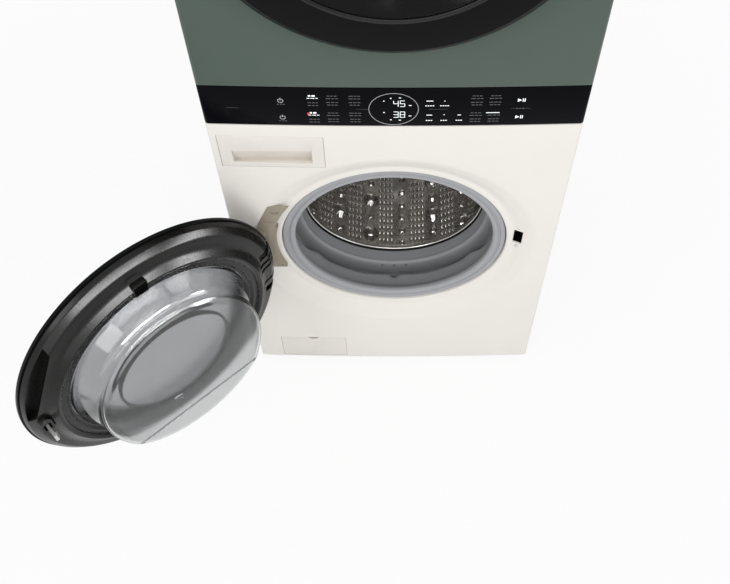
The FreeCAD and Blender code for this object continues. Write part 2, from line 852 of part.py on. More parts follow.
def mid_deck():
    half, y = INSIDE - FIT, (LIP_Y + 2 * DECK_FLANGE, REAR_FLANGE_Y - FIT)
    plate = box((-half, half), y, (DECK_Z - DECK_FLANGE, DECK_Z))
    w = 2 * SHEET
    return plate.cut(box((-half + w, half - w), (y[0] + w, y[1] - w),
                         (DECK_Z - DECK_FLANGE - PAST, DECK_Z - w)))


# Fronts
def dish_face():
    """Rim, slope and floor of the seat, as (radius, depth, round) points."""
    return [(DISH_R, -2 * CROWN), (DISH_R, DISH_EDGE, DISH_EDGE_R),
            (DISH_FLOOR_R, DISH_DEPTH - DISH_EDGE, DISH_FOOT_R), (MOUTH_LIP_R, DISH_DEPTH)]


def dish(z):
    """Dished seat with a raised mouth and a collar turned into the cabinet."""
    w = FRONT_WALL
    front = DISH_DEPTH - MOUTH_RISE
    bevel = MOUTH_LIP_R - MOUTH_BEVEL
    return turned(dish_face() + [
        (bevel, front, MOUTH_EDGE_R), (MOUTH_R, front, MOUTH_EDGE_R), (MOUTH_R, MOUTH_BACK),
        (MOUTH_R + w, MOUTH_BACK), (MOUTH_R + w, front + w), (bevel - w, front + w),
        (MOUTH_LIP_R - w, DISH_DEPTH + w), (DISH_FLOOR_R, DISH_DEPTH + w), (DISH_R + w, DISH_EDGE + w),
        (DISH_R + w, -2 * CROWN)], z, FRONT_Y)


def dished_front(z0, z1, axis_z):
    tray = front_tray(z0, z1)
    tray = tray.cut(disc_y(DISH_R + FRONT_WALL / 2, (AHEAD_Y, LIP_Y + PAST), 0, axis_z))
    seat = dish(axis_z).common(crowned((-HALF_W, HALF_W), (z0, z1), FRONT_Y + 2 * MOUTH_BACK))
    return tray.fuse(seat).removeSplitter()


def washer_front_panel():
    panel = dished_front(FOOT_H, WASHER_TOP, WASHER_Z)
    g = DRAWER_GAP
    through = (AHEAD_Y, LIP_Y + PAST)
    panel = panel.cut(box((DRAWER_X0 - g, DRAWER_X1 + g), through, (DRAWER_Z0 - g, DRAWER_Z1 + g)))
    g = FLAP_GAP
    panel = panel.cut(box((FLAP_X0 - g, FLAP_X1 + g), through, (FLAP_Z0 - g, FLAP_Z1 + g)))
    slot = box(around(HOOK_R, LOCK_W + 2 * HAIR), (FRONT_Y, FRONT_Y + 2 * DISH_DEPTH),
               around(HOOK_Z, LOCK_H + 2 * HAIR))
    return panel.cut(slot).multiFuse(flap_lugs()).removeSplitter()


def dryer_front_panel():
    return dished_front(DRYER_Z0, CABINET_H - SHEET, DRYER_Z)


def control_panel():
    return front_tray(CONTROL_Z0, CONTROL_Z1)


def control_board():
    """Electronics case clipped behind the control panel, with its connector block."""
    z = (CONTROL_Z0 + 2 * FRONT_WALL, CONTROL_Z1 - 2 * FRONT_WALL)
    y = (LIP_Y + SHEET, LIP_Y + 2 * DECK_FLANGE - FIT)
    half = HALF_W - BOARD_INSET
    case = box((-half, half), (y[0] - LIP_D + FRONT_WALL, y[1]), z).common(crown(FRONT_WALL))
    plug = box(around(0, PLUG_W), (y[1], y[1] + PLUG_D), (z[0], z[0] + PLUG_H))
    return fused([case, plug])


# Doors, drawn shut
def in_door(points, z):
    return turned(points, z, RIM_Y)


def door_cover(z):
    """Black outer ring, with a rib behind its inner edge that holds the window and the glass flange."""
    w = DOOR_WALL
    front = -COVER_OUT
    edge = DOOR_R - w - SNAP
    slope = DOOR_R - RIM_SLOPE
    ring = in_door([
        (DOOR_R, RIM_LAP), (DOOR_R, -RIM_BAND, RIM_BAND_R), (slope, front + w, RIM_SLOPE_R),
        (RIDGE_R, front, RIDGE_EDGE_R), (RIDGE_R, front + w), (RIB_R, front + w), (RIB_R, FLANGE_FRONT),
        (RIB_R + w, FLANGE_FRONT), (RIB_R + w, front + w), (slope, front + 2 * w), (edge, -w), (edge, RIM_LAP)], z)
    return ring.cut(ear_slots(z)).removeSplitter()


def door_window(z):
    """Tinted window: a flange under the cover's edge, a cone and a flat bottom."""
    front = DOOR_WALL - COVER_OUT
    t = WINDOW_T
    slope = (WINDOW_BACK - front) / WINDOW_CONE
    shift = t * (math.sqrt(1 + slope ** 2) - 1) / slope
    return in_door([(0, WINDOW_BACK), (WINDOW_R, WINDOW_BACK, WINDOW_ROUND), (WINDOW_RIM_R, front, WINDOW_LAP),
                    (RIB_R - FIT, front), (RIB_R - FIT, front + t), (WINDOW_RIM_R + shift, front + t, WINDOW_LAP),
                    (WINDOW_R + shift, WINDOW_BACK + t, WINDOW_ROUND), (0, WINDOW_BACK + t)], z)


def door_frame(z, grip):
    """Moulded inner ring: a rounded bulge with a finger slot on the rim opposite the hinge."""
    w = DOOR_WALL
    r = DOOR_R - w - SNAP - HAIR
    back = FRAME_BACK
    bore = FRAME_BORE
    lip = FLANGE_BACK + BORE_LIP
    shoulder = back - FRAME_SHOULDER_D
    ring = in_door([
        (r, PAST - w), (r, FRAME_SKIRT, FRAME_SKIRT_R), (r - FRAME_STEP_W, FRAME_STEP_D, FRAME_STEP_R),
        (r - FRAME_SHOULDER_W, shoulder, FRAME_SHOULDER_R), (r - FRAME_CREST_W, back, FRAME_CREST_R),
        (bore + BORE_CREST, back, BORE_CREST_R), (bore + BORE_SEAT, lip, BORE_SEAT_R), (bore, lip),
        (bore, FLANGE_BACK), (bore + BORE_SEAT + w, FLANGE_BACK), (bore + BORE_CREST + w / 2, back - w),
        (r - FRAME_CREST_W, back - w), (r - FRAME_SHOULDER_W - w / 2, shoulder - w * 0.8),
        (r - FRAME_STEP_W - w, FRAME_STEP_D - w * 0.6), (r - w, FRAME_SKIRT - w * 0.6), (r - w, PAST - w)], z)
    slot_out = r - GRIP_IN
    finger = sector(slot_out - GRIP_W, slot_out, grip[0], grip[1], (RIM_Y, FRAME_Y + PAST), z)
    return ring.cut(finger).cut(ear_slots(z)).multiFuse(arm_bosses(z)).removeSplitter()


def ear_heights(z):
    """Height spans of the two fixed ears of a hinge."""
    return [around(z + side * EAR_SPAN / 2, EAR_T) for side in (-1, 1)]


def ear_slots(z):
    """Slots through the rim that let the door swing past the fixed ears."""
    cuts = []
    for z0, z1 in ear_heights(z):
        span = (z0 - EAR_CLEAR, z1 + EAR_CLEAR)
        cuts.append(box((HINGE_X - 2 * HINGE_INSET, HINGE_X + EAR_W / 2 + 2 * PAST),
                        (RIM_Y - RIM_BAND - BARREL_R, RIM_Y + 2 * FRAME_BACK), span))
        cuts.append(box((HINGE_X - 2 * HINGE_INSET, HINGE_X - PAST), (RIM_Y - 2 * COVER_OUT, RIM_Y), span))
    return Part.makeCompound(cuts)


def arm_bosses(z):
    """Two screw bosses of the frame that carry the hinge arm."""
    y = (RIM_Y + WEB_IN + WEB_T, FRAME_Y - DOOR_WALL / 2)
    return [disc_y(BOSS_R, y, WEB_END_X - BOSS_IN, z + side * BOSS_UP) for side in (-1, 1)]


def hinge_arm(z):
    inner = (ear_heights(z)[0][1] + FIT, ear_heights(z)[1][0] - FIT)
    barrel = rod(BARREL_R, (HINGE_X, RIM_Y, inner[0]), (HINGE_X, RIM_Y, inner[1]))
    web = box((HINGE_X, WEB_END_X), (RIM_Y + WEB_IN, RIM_Y + WEB_IN + WEB_T), inner)
    bore = rod(PIN_R + RUNNING, (HINGE_X, RIM_Y, inner[0] - PAST), (HINGE_X, RIM_Y, inner[1] + PAST))
    return barrel.fuse(web).cut(bore).removeSplitter()


def hinge_plate(z):
    """Plate on the dish floor, two ears that reach out to the axis, and the pin through them."""
    floor = DISH_FLOOR_Y
    mouth = MOUTH_LIP_R + PAST
    plate = box((PLATE_SIDE - DISH_R, PLATE_W - mouth), (floor - PLATE_T, floor), around(z, PLATE_H))
    plate = plate.cut(disc_y(mouth, (floor - 2 * PLATE_T, floor + PAST), 0, z))
    far = DISH_R + 2 * DISH_SLOPE
    behind = turned(dish_face() + [(MOUTH_R, DISH_DEPTH), (MOUTH_R, 2 * DISH_DEPTH),
                                   (far, 2 * DISH_DEPTH), (far, -2 * CROWN)], z, FRONT_Y)
    parts = [plate]
    for z0, z1 in ear_heights(z):
        ear = box(around(HINGE_X, EAR_W), (RIM_Y, floor - PLATE_T / 2), (z0, z1))
        parts.append(ear.fuse(rod(EAR_W / 2, (HINGE_X, RIM_Y, z0), (HINGE_X, RIM_Y, z1))))
    low, high = ear_heights(z)[0][0], ear_heights(z)[1][1]
    parts.append(rod(PIN_R, (HINGE_X, RIM_Y, low), (HINGE_X, RIM_Y, high)))
    return fused(parts).cut(behind)


def washer_door_frame():
    frame = door_frame(WASHER_Z, (GRIP_FROM, GRIP_TO))
    slot = box(around(HOOK_R, HOOK_T + 2 * HOOK_SLOT), (FRAME_Y - HOOK_SLOT_D, FRAME_Y + PAST),
               around(HOOK_Z, HOOK_H + 2 * PAST))
    frame = frame.cut(slot)
    for side in (-1, 1):
        middle = HOOK_Z + side * (HOOK_H / 2 + PAST + HOOK_T / 2)
        frame = frame.fuse(box(around(HOOK_R, HOOK_LUG_W), (HOOK_Y - HOOK_LUG_IN, FRAME_Y - HOOK_LUG_SINK),
                               around(middle, HOOK_T)))
    pin_hole = rod(HOOK_T / 2 + RUNNING, (HOOK_R, HOOK_Y, HOOK_Z - HOOK_H), (HOOK_R, HOOK_Y, HOOK_Z + HOOK_H))
    top = WASHER_Z + DOOR_R - FRAME_CREST_W - SENSOR_W / 2
    sensor = box(around(0, SENSOR_W), (FRAME_Y - SENSOR_D, FRAME_Y + PAST), around(top, SENSOR_W))
    return frame.cut(pin_hole).cut(sensor).removeSplitter()


def washer_door_hook():
    """Spring latch hook on its own cross pin."""
    tip = FRAME_Y + HOOK_REACH
    half = HOOK_T / 2
    z = around(HOOK_Z, HOOK_H)
    blade = box(around(HOOK_R, HOOK_T), (HOOK_Y, tip), z)
    root = tip - HOOK_TOOTH_LEN
    tooth = prism_z([(HOOK_R - half - HOOK_TOOTH, root), (HOOK_R - half, root), (HOOK_R - half, tip)], z)
    reach = HOOK_H / 2 + HOOK_T
    pin = rod(half, (HOOK_R, HOOK_Y, HOOK_Z - reach), (HOOK_R, HOOK_Y, HOOK_Z + reach))
    return fused([blade, tooth, pin])


def washer_door_lock():
    """Lock body behind the dish, with the black slot that takes the hook."""
    seat = DISH_FLOOR_Y + FRONT_WALL
    nose = box(around(HOOK_R, LOCK_W), (DISH_FLOOR_Y, seat), around(HOOK_Z, LOCK_H))
    body = box(around(HOOK_R, LOCK_W + 2 * LOCK_SIDE), (seat, seat + LOCK_D), around(HOOK_Z, LOCK_H + 2 * LOCK_EAR))
    slot = box((HOOK_R - LOCK_W / 2 + LOCK_SLOT_IN, HOOK_R + LOCK_W / 2 - LOCK_SLOT_OUT),
               (DISH_FLOOR_Y - PAST, DISH_FLOOR_Y + LOCK_SLOT_D), around(HOOK_Z, HOOK_H + HOOK_T))
    return fused([nose, body]).cut(slot)


def washer_door_bowl():
    """Clear bowl: a flared root, a waist, a flat end and a chin that slants away below its crease."""
    def vessel(inset):
        start = FLANGE_FRONT - (PAST if inset else 0.0)
        root, waist = BOWL_R - inset, BOWL_END_R - inset
        end = BOWL_OUT - inset
        body = in_door([(0, start), (root, start), (root, FLANGE_BACK + BOWL_FOOT, BOWL_FOOT_R),
                        (waist, BOWL_WAIST, BOWL_WAIST_R), (waist, end, BOWL_END_ROUND), (0, end)], WASHER_Z)
        z0 = WASHER_Z - BOWL_CREASE
        tip = RIM_Y + end
        rake, chin = math.tan(math.radians(BOWL_RAKE)), math.tan(math.radians(BOWL_CHIN))
        high, low = z0 + 2 * BOWL_R, z0 - BOWL_R
        keep = prism_x([(RIM_Y, high), (tip - rake * (high - z0), high), (tip, z0),
                        (tip - chin * (z0 - low), low), (RIM_Y, low)], (-DOOR_R, DOOR_R))
        return body.common(keep)
    shell = vessel(0.0).cut(vessel(BOWL_T))
    inner, outer, back = BOWL_R - FLANGE_LAP, RIB_R + DOOR_WALL, FLANGE_BACK - FIT
    flange = in_door([(inner, FLANGE_FRONT), (outer, FLANGE_FRONT), (outer, back), (inner, back)], WASHER_Z)
    return shell.fuse(flange).removeSplitter()


def dryer_door_frame():
    """Inner ring of the dryer door, closed by a dished liner."""
    frame = door_frame(DRYER_Z, (-GRIP_TO, -GRIP_FROM))
    deep = WINDOW_BACK + WINDOW_T + LINER_GAP
    t = LINER_T
    lap, side = FRAME_BORE + LINER_LAP, FRAME_BORE - LINER_SIDE
    front = FLANGE_BACK + PAST
    liner = in_door([(lap, front), (lap, front + t), (side, front + t, LINER_EDGE_R),
                     (side - LINER_DRAFT, deep + t, LINER_R), (0, deep + t), (0, deep),
                     (side - LINER_DRAFT - t, deep, LINER_R), (side - t, front, LINER_EDGE_R)], DRYER_Z)
    return frame.fuse(liner).removeSplitter()


def swung(shape):
    """The washer door piece at the angle that the door stands open."""
    moved = shape.copy()
    moved.rotate(Vector(HINGE_X, RIM_Y, 0), Vector(0, 0, 1), -OPEN_ANGLE)
    return moved


# Detergent drawer
def drawer_front():
    face = crowned((DRAWER_X0, DRAWER_X1), (DRAWER_Z0, DRAWER_Z1), TRAY_Y)
    middle = (DRAWER_X0 + DRAWER_X1) / 2 + SCOOP_SHIFT
    z0 = DRAWER_Z0 + TRAY_SIDE + SCOOP_SILL
    z1 = DRAWER_Z1 - SCOOP_DROP
    deep = FRONT_Y + SCOOP_D
    scoop = prism_x([(AHEAD_Y, z0), (deep, z0), (deep, z0 + SCOOP_HEEL, SCOOP_ROUND), (AHEAD_Y, z1)],
                    around(middle, SCOOP_W))
    w = POCKET_WALL
    start = TRAY_Y - PAST
    pocket = prism_x([(start, z0 - w), (deep + w, z0 - w), (deep + w, z0 + SCOOP_HEEL + w), (start, z1 - w)],
                     around(middle, SCOOP_W + 2 * w))
    return face.fuse(pocket).cut(scoop).removeSplitter()


def tray_box():
    """Outside of the drawer tray."""
    x = (DRAWER_X0 + TRAY_SIDE, DRAWER_X1 - TRAY_SIDE)
    return x, (TRAY_Y, TRAY_Y + DRAWER_LEN), (DRAWER_Z0 + TRAY_SIDE, DRAWER_Z1 - TRAY_SIDE)


def drawer_tray():
    """Open tray with a wash compartment, a softener cell and a bleach cell."""
    x, y, z = tray_box()
    w = TRAY_WALL
    head = y[0] + SCOOP_D + 2 * w
    split = x[1] - CELL_W
    half = (head + y[1]) / 2
    tray = box(x, (head, y[1]), z)
    cells = [((x[0] + w, split - w / 2), (head + w, y[1] - w)),
             ((split + w / 2, x[1] - w), (head + w, half - w / 2)),
             ((split + w / 2, x[1] - w), (half + w / 2, y[1] - w))]
    for cell_x, cell_y in cells:
        tray = tray.cut(box(cell_x, cell_y, (z[0] + w, z[1] + PAST)))
    arms = [box((x0, x0 + 2 * w), (y[0], head), (z[0], z[1])) for x0 in (x[0], x[1] - 2 * w)]
    return tray.multiFuse(arms).removeSplitter()


def housing_box():
    x, y, z = tray_box()
    g = HOUSING_GAP + HOUSING_WALL
    return (x[0] - g, x[1] + g), (LIP_Y + HOUSING_SETBACK, y[1] + g + HOUSING_END), (z[0] - g, z[1] + g)


def dispenser_outlet():
    x, y, _ = housing_box()
    return x[1] - OUTLET_SIDE, y[1] - OUTLET_END


def dispenser_inlet():
    x, _, z = housing_box()
    return x[0] + INLET_SIDE, z[1] - INLET_DROP


def dispenser_housing():
    """Box that the tray slides in, open at the front, with an outlet under its back."""
    x, y, z = housing_box()
    w = HOUSING_WALL
    shell = box(x, y, z).cut(box((x[0] + w, x[1] - w), (y[0] - PAST, y[1] - w), (z[0] + w, z[1] - w)))
    ox, oy = dispenser_outlet()
    low = z[0] - SPOUT_LEN
    shell = shell.fuse(rod(SPOUT_R, (ox, oy, low), (ox, oy, z[0] + w)))
    shell = shell.cut(rod(SPOUT_BORE, (ox, oy, low - PAST), (ox, oy, z[0] + w + PAST)))
    ix, iz = dispenser_inlet()
    inlet = tube(INLET_R, INLET_BORE, (ix, y[1] - w, iz), (ix, y[1] + INLET_LEN, iz))
    rail_y = (LIP_Y + 2 * DECK_FLANGE + RAIL_SETBACK, y[1] - RAIL_END)
    rails = [box((x0, x0 + RAIL_W), rail_y, (z[1], DECK_Z - DECK_FLANGE)) for x0 in (x[0], x[1] - RAIL_W)]
    runners = [box((x0, x0 + RAIL_W), (y[0], y[1] - w), (z[0] + w / 2, tray_box()[2][0] - RUNNING))
               for x0 in (x[0] + w + RUNNER_IN, x[1] - w - RUNNER_IN - RAIL_W)]
    return fused([shell, inlet] + rails + runners)


# Service flap, drain pump and its filter
def flap_round(radius, x):
    return rod(radius, (x[0], FLAP_AXIS_Y, FLAP_AXIS_Z), (x[1], FLAP_AXIS_Y, FLAP_AXIS_Z))


def service_flap():
    """Bottom-hinged cover with a finger notch in its top edge and a rounded bottom edge."""
    x, back = (FLAP_X0, FLAP_X1), FRONT_Y + FLAP_T
    face = crowned(x, (FLAP_AXIS_Z, FLAP_Z1), back)
    foot = crowned(x, (FLAP_Z0, FLAP_Z1), back).common(flap_round(FLAP_AXIS_UP, x))
    notch = disc_y(NOTCH_R, (AHEAD_Y, back + PAST), (x[0] + x[1]) / 2, FLAP_Z1 + NOTCH_UP)
    bore = flap_round(FLAP_PIN_R + RUNNING, (x[0] - PAST, x[1] + PAST))
    return face.fuse(foot).cut(notch).cut(bore).removeSplitter()


def flap_lugs():
    """Lugs behind the front panel, each with a stub pin for the flap."""
    lugs = []
    for x, way in ((FLAP_X0, 1), (FLAP_X1, -1)):
        edge = x - way * FLAP_GAP
        far = edge - way * FLAP_LUG
        end = x + way * FLAP_PIN_LEN
        lugs.append(crowned((min(edge, far), max(edge, far)), around(FLAP_AXIS_Z, FLAP_LUG_H),
                            FLAP_AXIS_Y + FLAP_LUG_D, FRONT_WALL / 2))
        lugs.append(flap_round(FLAP_PIN_R, (min(far, end), max(far, end))))
    return lugs


def drain_pump():
    """Pump chamber open to the front for the filter, its motor, its feet and the two spigots."""
    chamber = disc_y(PUMP_R, (PUMP_Y0, PUMP_Y1), PUMP_X, PUMP_Z)
    bore = disc_y(FILTER_R + FILTER_GAP, (PUMP_Y0 - PAST, PUMP_Y1 - PUMP_END), PUMP_X, PUMP_Z)
    motor = disc_y(PUMP_MOTOR_R, (PUMP_Y1, PUMP_Y1 + PUMP_MOTOR_LEN), PUMP_X, PUMP_Z)
    feet = [box(around(PUMP_X, PUMP_FOOT_W), (y, y + PUMP_FOOT_D), (FOOT_H + BASE_WALL, PUMP_Z - PUMP_FOOT_DROP))
            for y in (PUMP_Y0 + PUMP_FOOT_IN, PUMP_Y1 - PUMP_FOOT_BACK)]
    side = PUMP_X + PUMP_R + PUMP_SPIGOT
    inlet = rod(SUMP_BORE - HAIR, (side, SUMP_Y, PUMP_Z), (PUMP_X, SUMP_Y, PUMP_Z))
    side = PUMP_X - PUMP_R - PUMP_OUTLET
    outlet = rod(DRAIN_BORE - HAIR, (side, SUMP_Y, PUMP_Z), (PUMP_X, SUMP_Y, PUMP_Z))
    return fused([chamber, motor, inlet, outlet] + feet).cut(bore)


def pump_filter():
    """Screw-in lint trap: a winged cap, a threaded collar and a slotted basket."""
    y0 = PUMP_Y0
    face = y0 - CAP_T
    end = y0 + THREAD_LEN
    tail = y0 + FILTER_LEN
    cap = disc_y(PUMP_R - CAP_IN, (face, y0 - HAIR), PUMP_X, PUMP_Z)
    wing = box(around(PUMP_X, WING_W), (face - WING_D, face), around(PUMP_Z, WING_T))
    collar = disc_y(FILTER_R, (y0 - HAIR, end), PUMP_X, PUMP_Z)
    basket_r = FILTER_R - BASKET_IN
    basket = ring_y(basket_r, basket_r - BASKET_WALL, (end + BASKET_FLOOR, tail), PUMP_X, PUMP_Z)
    basket = basket.fuse(disc_y(basket_r, (end, end + BASKET_FLOOR), PUMP_X, PUMP_Z))
    for k in range(3):
        y = y0 + BASKET_SLOT_FROM + BASKET_SLOT_PITCH * k
        basket = basket.cut(box(around(PUMP_X, 4 * FILTER_R), (y, y + BASKET_SLOT_LEN), around(PUMP_Z, BASKET_SLOT_H)))
    return fused([cap, wing, collar, basket])


# Washer tub
def tub_top(x):
    return WASHER_Z + math.sqrt(TUB_R ** 2 - x ** 2)


def feed_foot():
    """Lower end of the dispenser hose, just clear of the tub."""
    return tub_top(abs(dispenser_outlet()[0]) - SPOUT_R - FEED_GAP)


def sump_top():
    """Height of the sump hose's upper end, just under the tub."""
    return 2 * WASHER_Z - tub_top(abs(SUMP_X) - SUMP_R) - SUMP_GAP


def spring_places():
    x = TUB_R * math.sin(math.radians(SPRING_ANGLE))
    return [(side * x, DRUM_BACK_Y - SPRING_AHEAD) for side in (-1, 1)]


def damper_places():
    """Upper eye on the tub and lower eye on the base pan of each damper."""
    a = math.radians(DAMPER_ANGLE)
    reach = TUB_R + DAMPER_EYE_OUT
    x, z = reach * math.sin(a), WASHER_Z - reach * math.cos(a)
    foot_z = FOOT_H + BASE_WALL + DAMPER_FOOT_UP
    places = []
    for y in (DRUM_FRONT_Y + DAMPER_FRONT, DRUM_BACK_Y - DAMPER_REAR):
        for side in (-1, 1):
            places.append(((side * x, y, z), (side * (x + DAMPER_SPLAY), y, foot_z)))
    return places


def outer_tub():
    """Tub shell with its bearing hub, spring lugs, damper lugs and sump spout."""
    y0, y1 = TUB_FRONT_Y, TUB_BACK_Y
    inside = disc_y(TUB_BORE, (y0 - PAST, y1), 0, WASHER_Z)
    shell = disc_y(TUB_R, (y0, y1 + TUB_WALL), 0, WASHER_Z).cut(inside)
    hub = disc_y(BEARING_R + HUB_WALL, (y1 - HUB_IN, HUB_END_Y), 0, WASHER_Z)
    lugs = []
    for x, y in spring_places():
        lugs.append(box(around(x, SPRING_LUG_W), around(y, SPRING_LUG_D), (WASHER_Z, tub_top(x) + SPRING_LUG_UP)))
    for (x, y, z), _ in damper_places():
        near = x - math.copysign(DAMPER_LUG_W, x)
        lugs.append(box((min(near, x), max(near, x)), around(y, DAMPER_LUG), (z - DAMPER_LUG / 2, WASHER_Z)))
    lugs.append(rod(SUMP_BORE - HAIR, (SUMP_X, SUMP_Y, WASHER_Z), (SUMP_X, SUMP_Y, sump_top() - SUMP_SPIGOT)))
    dx, dy = dispenser_outlet()
    lugs.append(rod(SPOUT_BORE - HAIR, (dx, dy, WASHER_Z), (dx, dy, feed_foot() + FEED_SPIGOT)))
    added = lugs[0].multiFuse(lugs[1:]).cut(inside)
    whole = shell.multiFuse([added, hub])
    whole = whole.cut(disc_y(BEARING_R, (y1 - HUB_IN - PAST, HUB_END_Y + PAST), 0, WASHER_Z))
    return whole.removeSplitter()


def tub_front_cover():
    """Front half-shell of the tub, with the collar that the gasket grips."""
    w = TUB_WALL
    plate = TUB_PLATE_Y
    edge = TUB_R - TUB_CHAMFER
    return turned([
        (TUB_R, TUB_FRONT_Y), (TUB_R, plate + TUB_SHOULDER, TUB_ROUND), (edge, plate, TUB_ROUND),
        (COLLAR_R, plate, COLLAR_ROUND), (COLLAR_R, COLLAR_Y), (COLLAR_R - w, COLLAR_Y), (COLLAR_R - w, plate + w),
        (edge, plate + w), (TUB_BORE, plate + TUB_SHOULDER + w), (TUB_BORE, TUB_FRONT_Y)], WASHER_Z, 0.0)


def door_gasket():
    """Rubber bellows from the mouth of the front panel to the collar of the tub."""
    w = GASKET_WALL
    mouth = MOUTH_R - 2 * FIT
    fold = FOLD_R_OUT
    sleeve = COLLAR_R + FIT
    back = COLLAR_Y - FRONT_Y
    face = DISH_DEPTH - GASKET_PROUD
    start, end = back - FOLD_LEN, back - FOLD_END
    lip = face + GASKET_LIP
    return turned([
        (mouth, face + GASKET_ROUND, GASKET_ROUND), (mouth, MOUTH_BACK + FOLD_START), (fold, start, FOLD_ROUND),
        (fold, end, FOLD_ROUND), (mouth - FOLD_NECK, back + FOLD_NECK, FOLD_INNER_ROUND),
        (sleeve + w, back + FOLD_NECK), (sleeve + w, back + GASKET_SLEEVE), (sleeve, back + GASKET_SLEEVE),
        (sleeve, back - FIT), (sleeve - GASKET_STOP, back - FIT), (sleeve - GASKET_STOP, back - w, GASKET_ROUND),
        (mouth - FOLD_NECK - w, back - w, FOLD_INNER_ROUND), (fold - w, end - w, FOLD_INNER_ROUND),
        (fold - w, start + FOLD_NECK, FOLD_INNER_ROUND), (mouth - w, start - w, FOLD_INNER_ROUND),
        (mouth - w, lip + FOLD_NECK, FOLD_INNER_ROUND), (GASKET_BORE, lip, FOLD_INNER_ROUND),
        (GASKET_BORE, face + FOLD_NECK, FOLD_INNER_ROUND), (GASKET_BORE + GASKET_LIP_EDGE, face, GASKET_ROUND)],
        WASHER_Z, FRONT_Y)


def counterweights():
    """Two arc-shaped weights bolted to the front of the tub."""
    y = (TUB_PLATE_Y - WEIGHT_D, TUB_PLATE_Y)
    inner = FOLD_R_OUT + WEIGHT_CLEAR
    return Part.makeCompound([sector(inner, inner + WEIGHT_W, middle - WEIGHT_SWEEP, middle + WEIGHT_SWEEP, y, WASHER_Z)
                              for middle in (90, 270)])


def tub_suspension():
    """Two hanging springs, as plain sleeves with stems, and four friction dampers."""
    pieces = []
    for x, y in spring_places():
        low = tub_top(x) + SPRING_LUG_UP
        high = DECK_Z - 2 * SHEET
        foot, head = low + SPRING_TAIL, high - SPRING_HEAD
        body = tube(SPRING_R, SPRING_BORE, (x, y, foot), (x, y, head))
        stems = [rod(SPRING_STEM_R, (x, y, low), (x, y, foot)), rod(SPRING_STEM_R, (x, y, head), (x, y, high))]
        caps = [rod(SPRING_CAP_R, (x, y, foot), (x, y, foot + SPRING_CAP_T)),
                rod(SPRING_CAP_R, (x, y, head - SPRING_CAP_T), (x, y, head))]
        pieces.append(fused([body] + stems + caps))
    for upper, lower in damper_places():
        a, b = Vector(*lower), Vector(*upper)
        along = (b - a).normalize()
        reach = (Vector(*upper) - a).Length
        foot = box(around(lower[0], DAMPER_FOOT_W), around(lower[1], DAMPER_FOOT_D),
                   (FOOT_H + BASE_WALL, FOOT_H + BASE_WALL + DAMPER_FOOT_H))
        body = rod(DAMPER_R, a, a + along * (reach / 2))
        piston = rod(DAMPER_PISTON_R, a + along * (reach / 2 - DAMPER_R),
                     a + along * (reach - DAMPER_LUG / 2 - DAMPER_GAP))
        pieces.append(fused([foot, body, piston]))
    return Part.makeCompound(pieces)


# Washer drum and drive
def washer_drum():
    """Stainless drum: rolled mouth, coned front, cylinder and a pressed back."""
    w = DRUM_WALL
    y0, y1 = DRUM_FRONT_Y, DRUM_BACK_Y
    r, mouth = DRUM_R, DRUM_MOUTH_R
    cone, side = y0 + DRUM_CONE, y0 + DRUM_CONE + DRUM_SHOULDER
    press, pit = r - DRUM_PRESS_IN, y1 - DRUM_PRESS
    inner = press - DRUM_PRESS_DRAFT
    lip, bend = DRUM_LIP_R, DRUM_SHOULDER_R
    return turned([
        (mouth, y0 + DRUM_LIP), (mouth, y0, lip), (mouth + DRUM_LIP_W, y0, lip), (r - DRUM_SHOULDER, cone, bend),
        (r, side, bend), (r, y1, bend), (press, y1, DRUM_PRESS_R), (inner, pit, DRUM_PRESS_R), (0, pit),
        (0, pit - w), (inner - w, pit - w, DRUM_PRESS_R), (press - w, y1 - w, DRUM_PRESS_R), (r - w, y1 - w, bend - w),
        (r - w, side, bend - w), (r - DRUM_SHOULDER, cone + w, bend - w), (mouth + DRUM_LIP_W, y0 + w, lip - w),
        (mouth + w, y0 + w, lip - w), (mouth + w, y0 + DRUM_LIP)], WASHER_Z, 0.0)


def drum_lifters():
    """Three paddles on the drum's wall."""
    lifters = []
    inner = DRUM_R - DRUM_WALL
    y = (DRUM_FRONT_Y + LIFTER_FRONT, DRUM_BACK_Y - LIFTER_BACK)
    seat = disc_y(inner - FIT, (y[0] - PAST, y[1] + PAST), 0, WASHER_Z)
    half, d = LIFTER_W / 2, LIFTER_DRAFT
    foot, top = WASHER_Z + inner + LIFTER_SINK, WASHER_Z + inner - LIFTER_H
    for angle in LIFTER_ANGLES:
        paddle = prism_y([(-half, foot), (d - half, top, d), (half - d, top, d), (half, foot)], y)
        lifters.append(turn_about(paddle, WASHER_Z, angle).common(seat))
    return Part.makeCompound(lifters)


def drum_spider():
    """Three-armed casting on the back of the drum, with the shaft."""
    y0, y1 = DRUM_BACK_Y, SPIDER_Y
    parts = [disc_y(SHAFT_R + SPIDER_HUB, (y0 - DRUM_PRESS, y1), 0, WASHER_Z),
             disc_y(SHAFT_R, (y0, BACK_Y - SHAFT_END), 0, WASHER_Z)]
    arm = box(around(0, SPIDER_ARM_W), (y0, y1), (WASHER_Z, WASHER_Z + DRUM_R - SPIDER_ARM_IN))
    for angle in LIFTER_ANGLES:
        parts.append(turn_about(arm, WASHER_Z, angle))
    return fused(parts)


def tub_bearings():
    y = TUB_BACK_Y - HUB_IN
    spans = ((y, y + BEARING_W), (y + BEARING_W + BEARING_GAP, HUB_END_Y))
    return Part.makeCompound([ring_y(BEARING_R, SHAFT_R + RUNNING, span, 0, WASHER_Z) for span in spans])


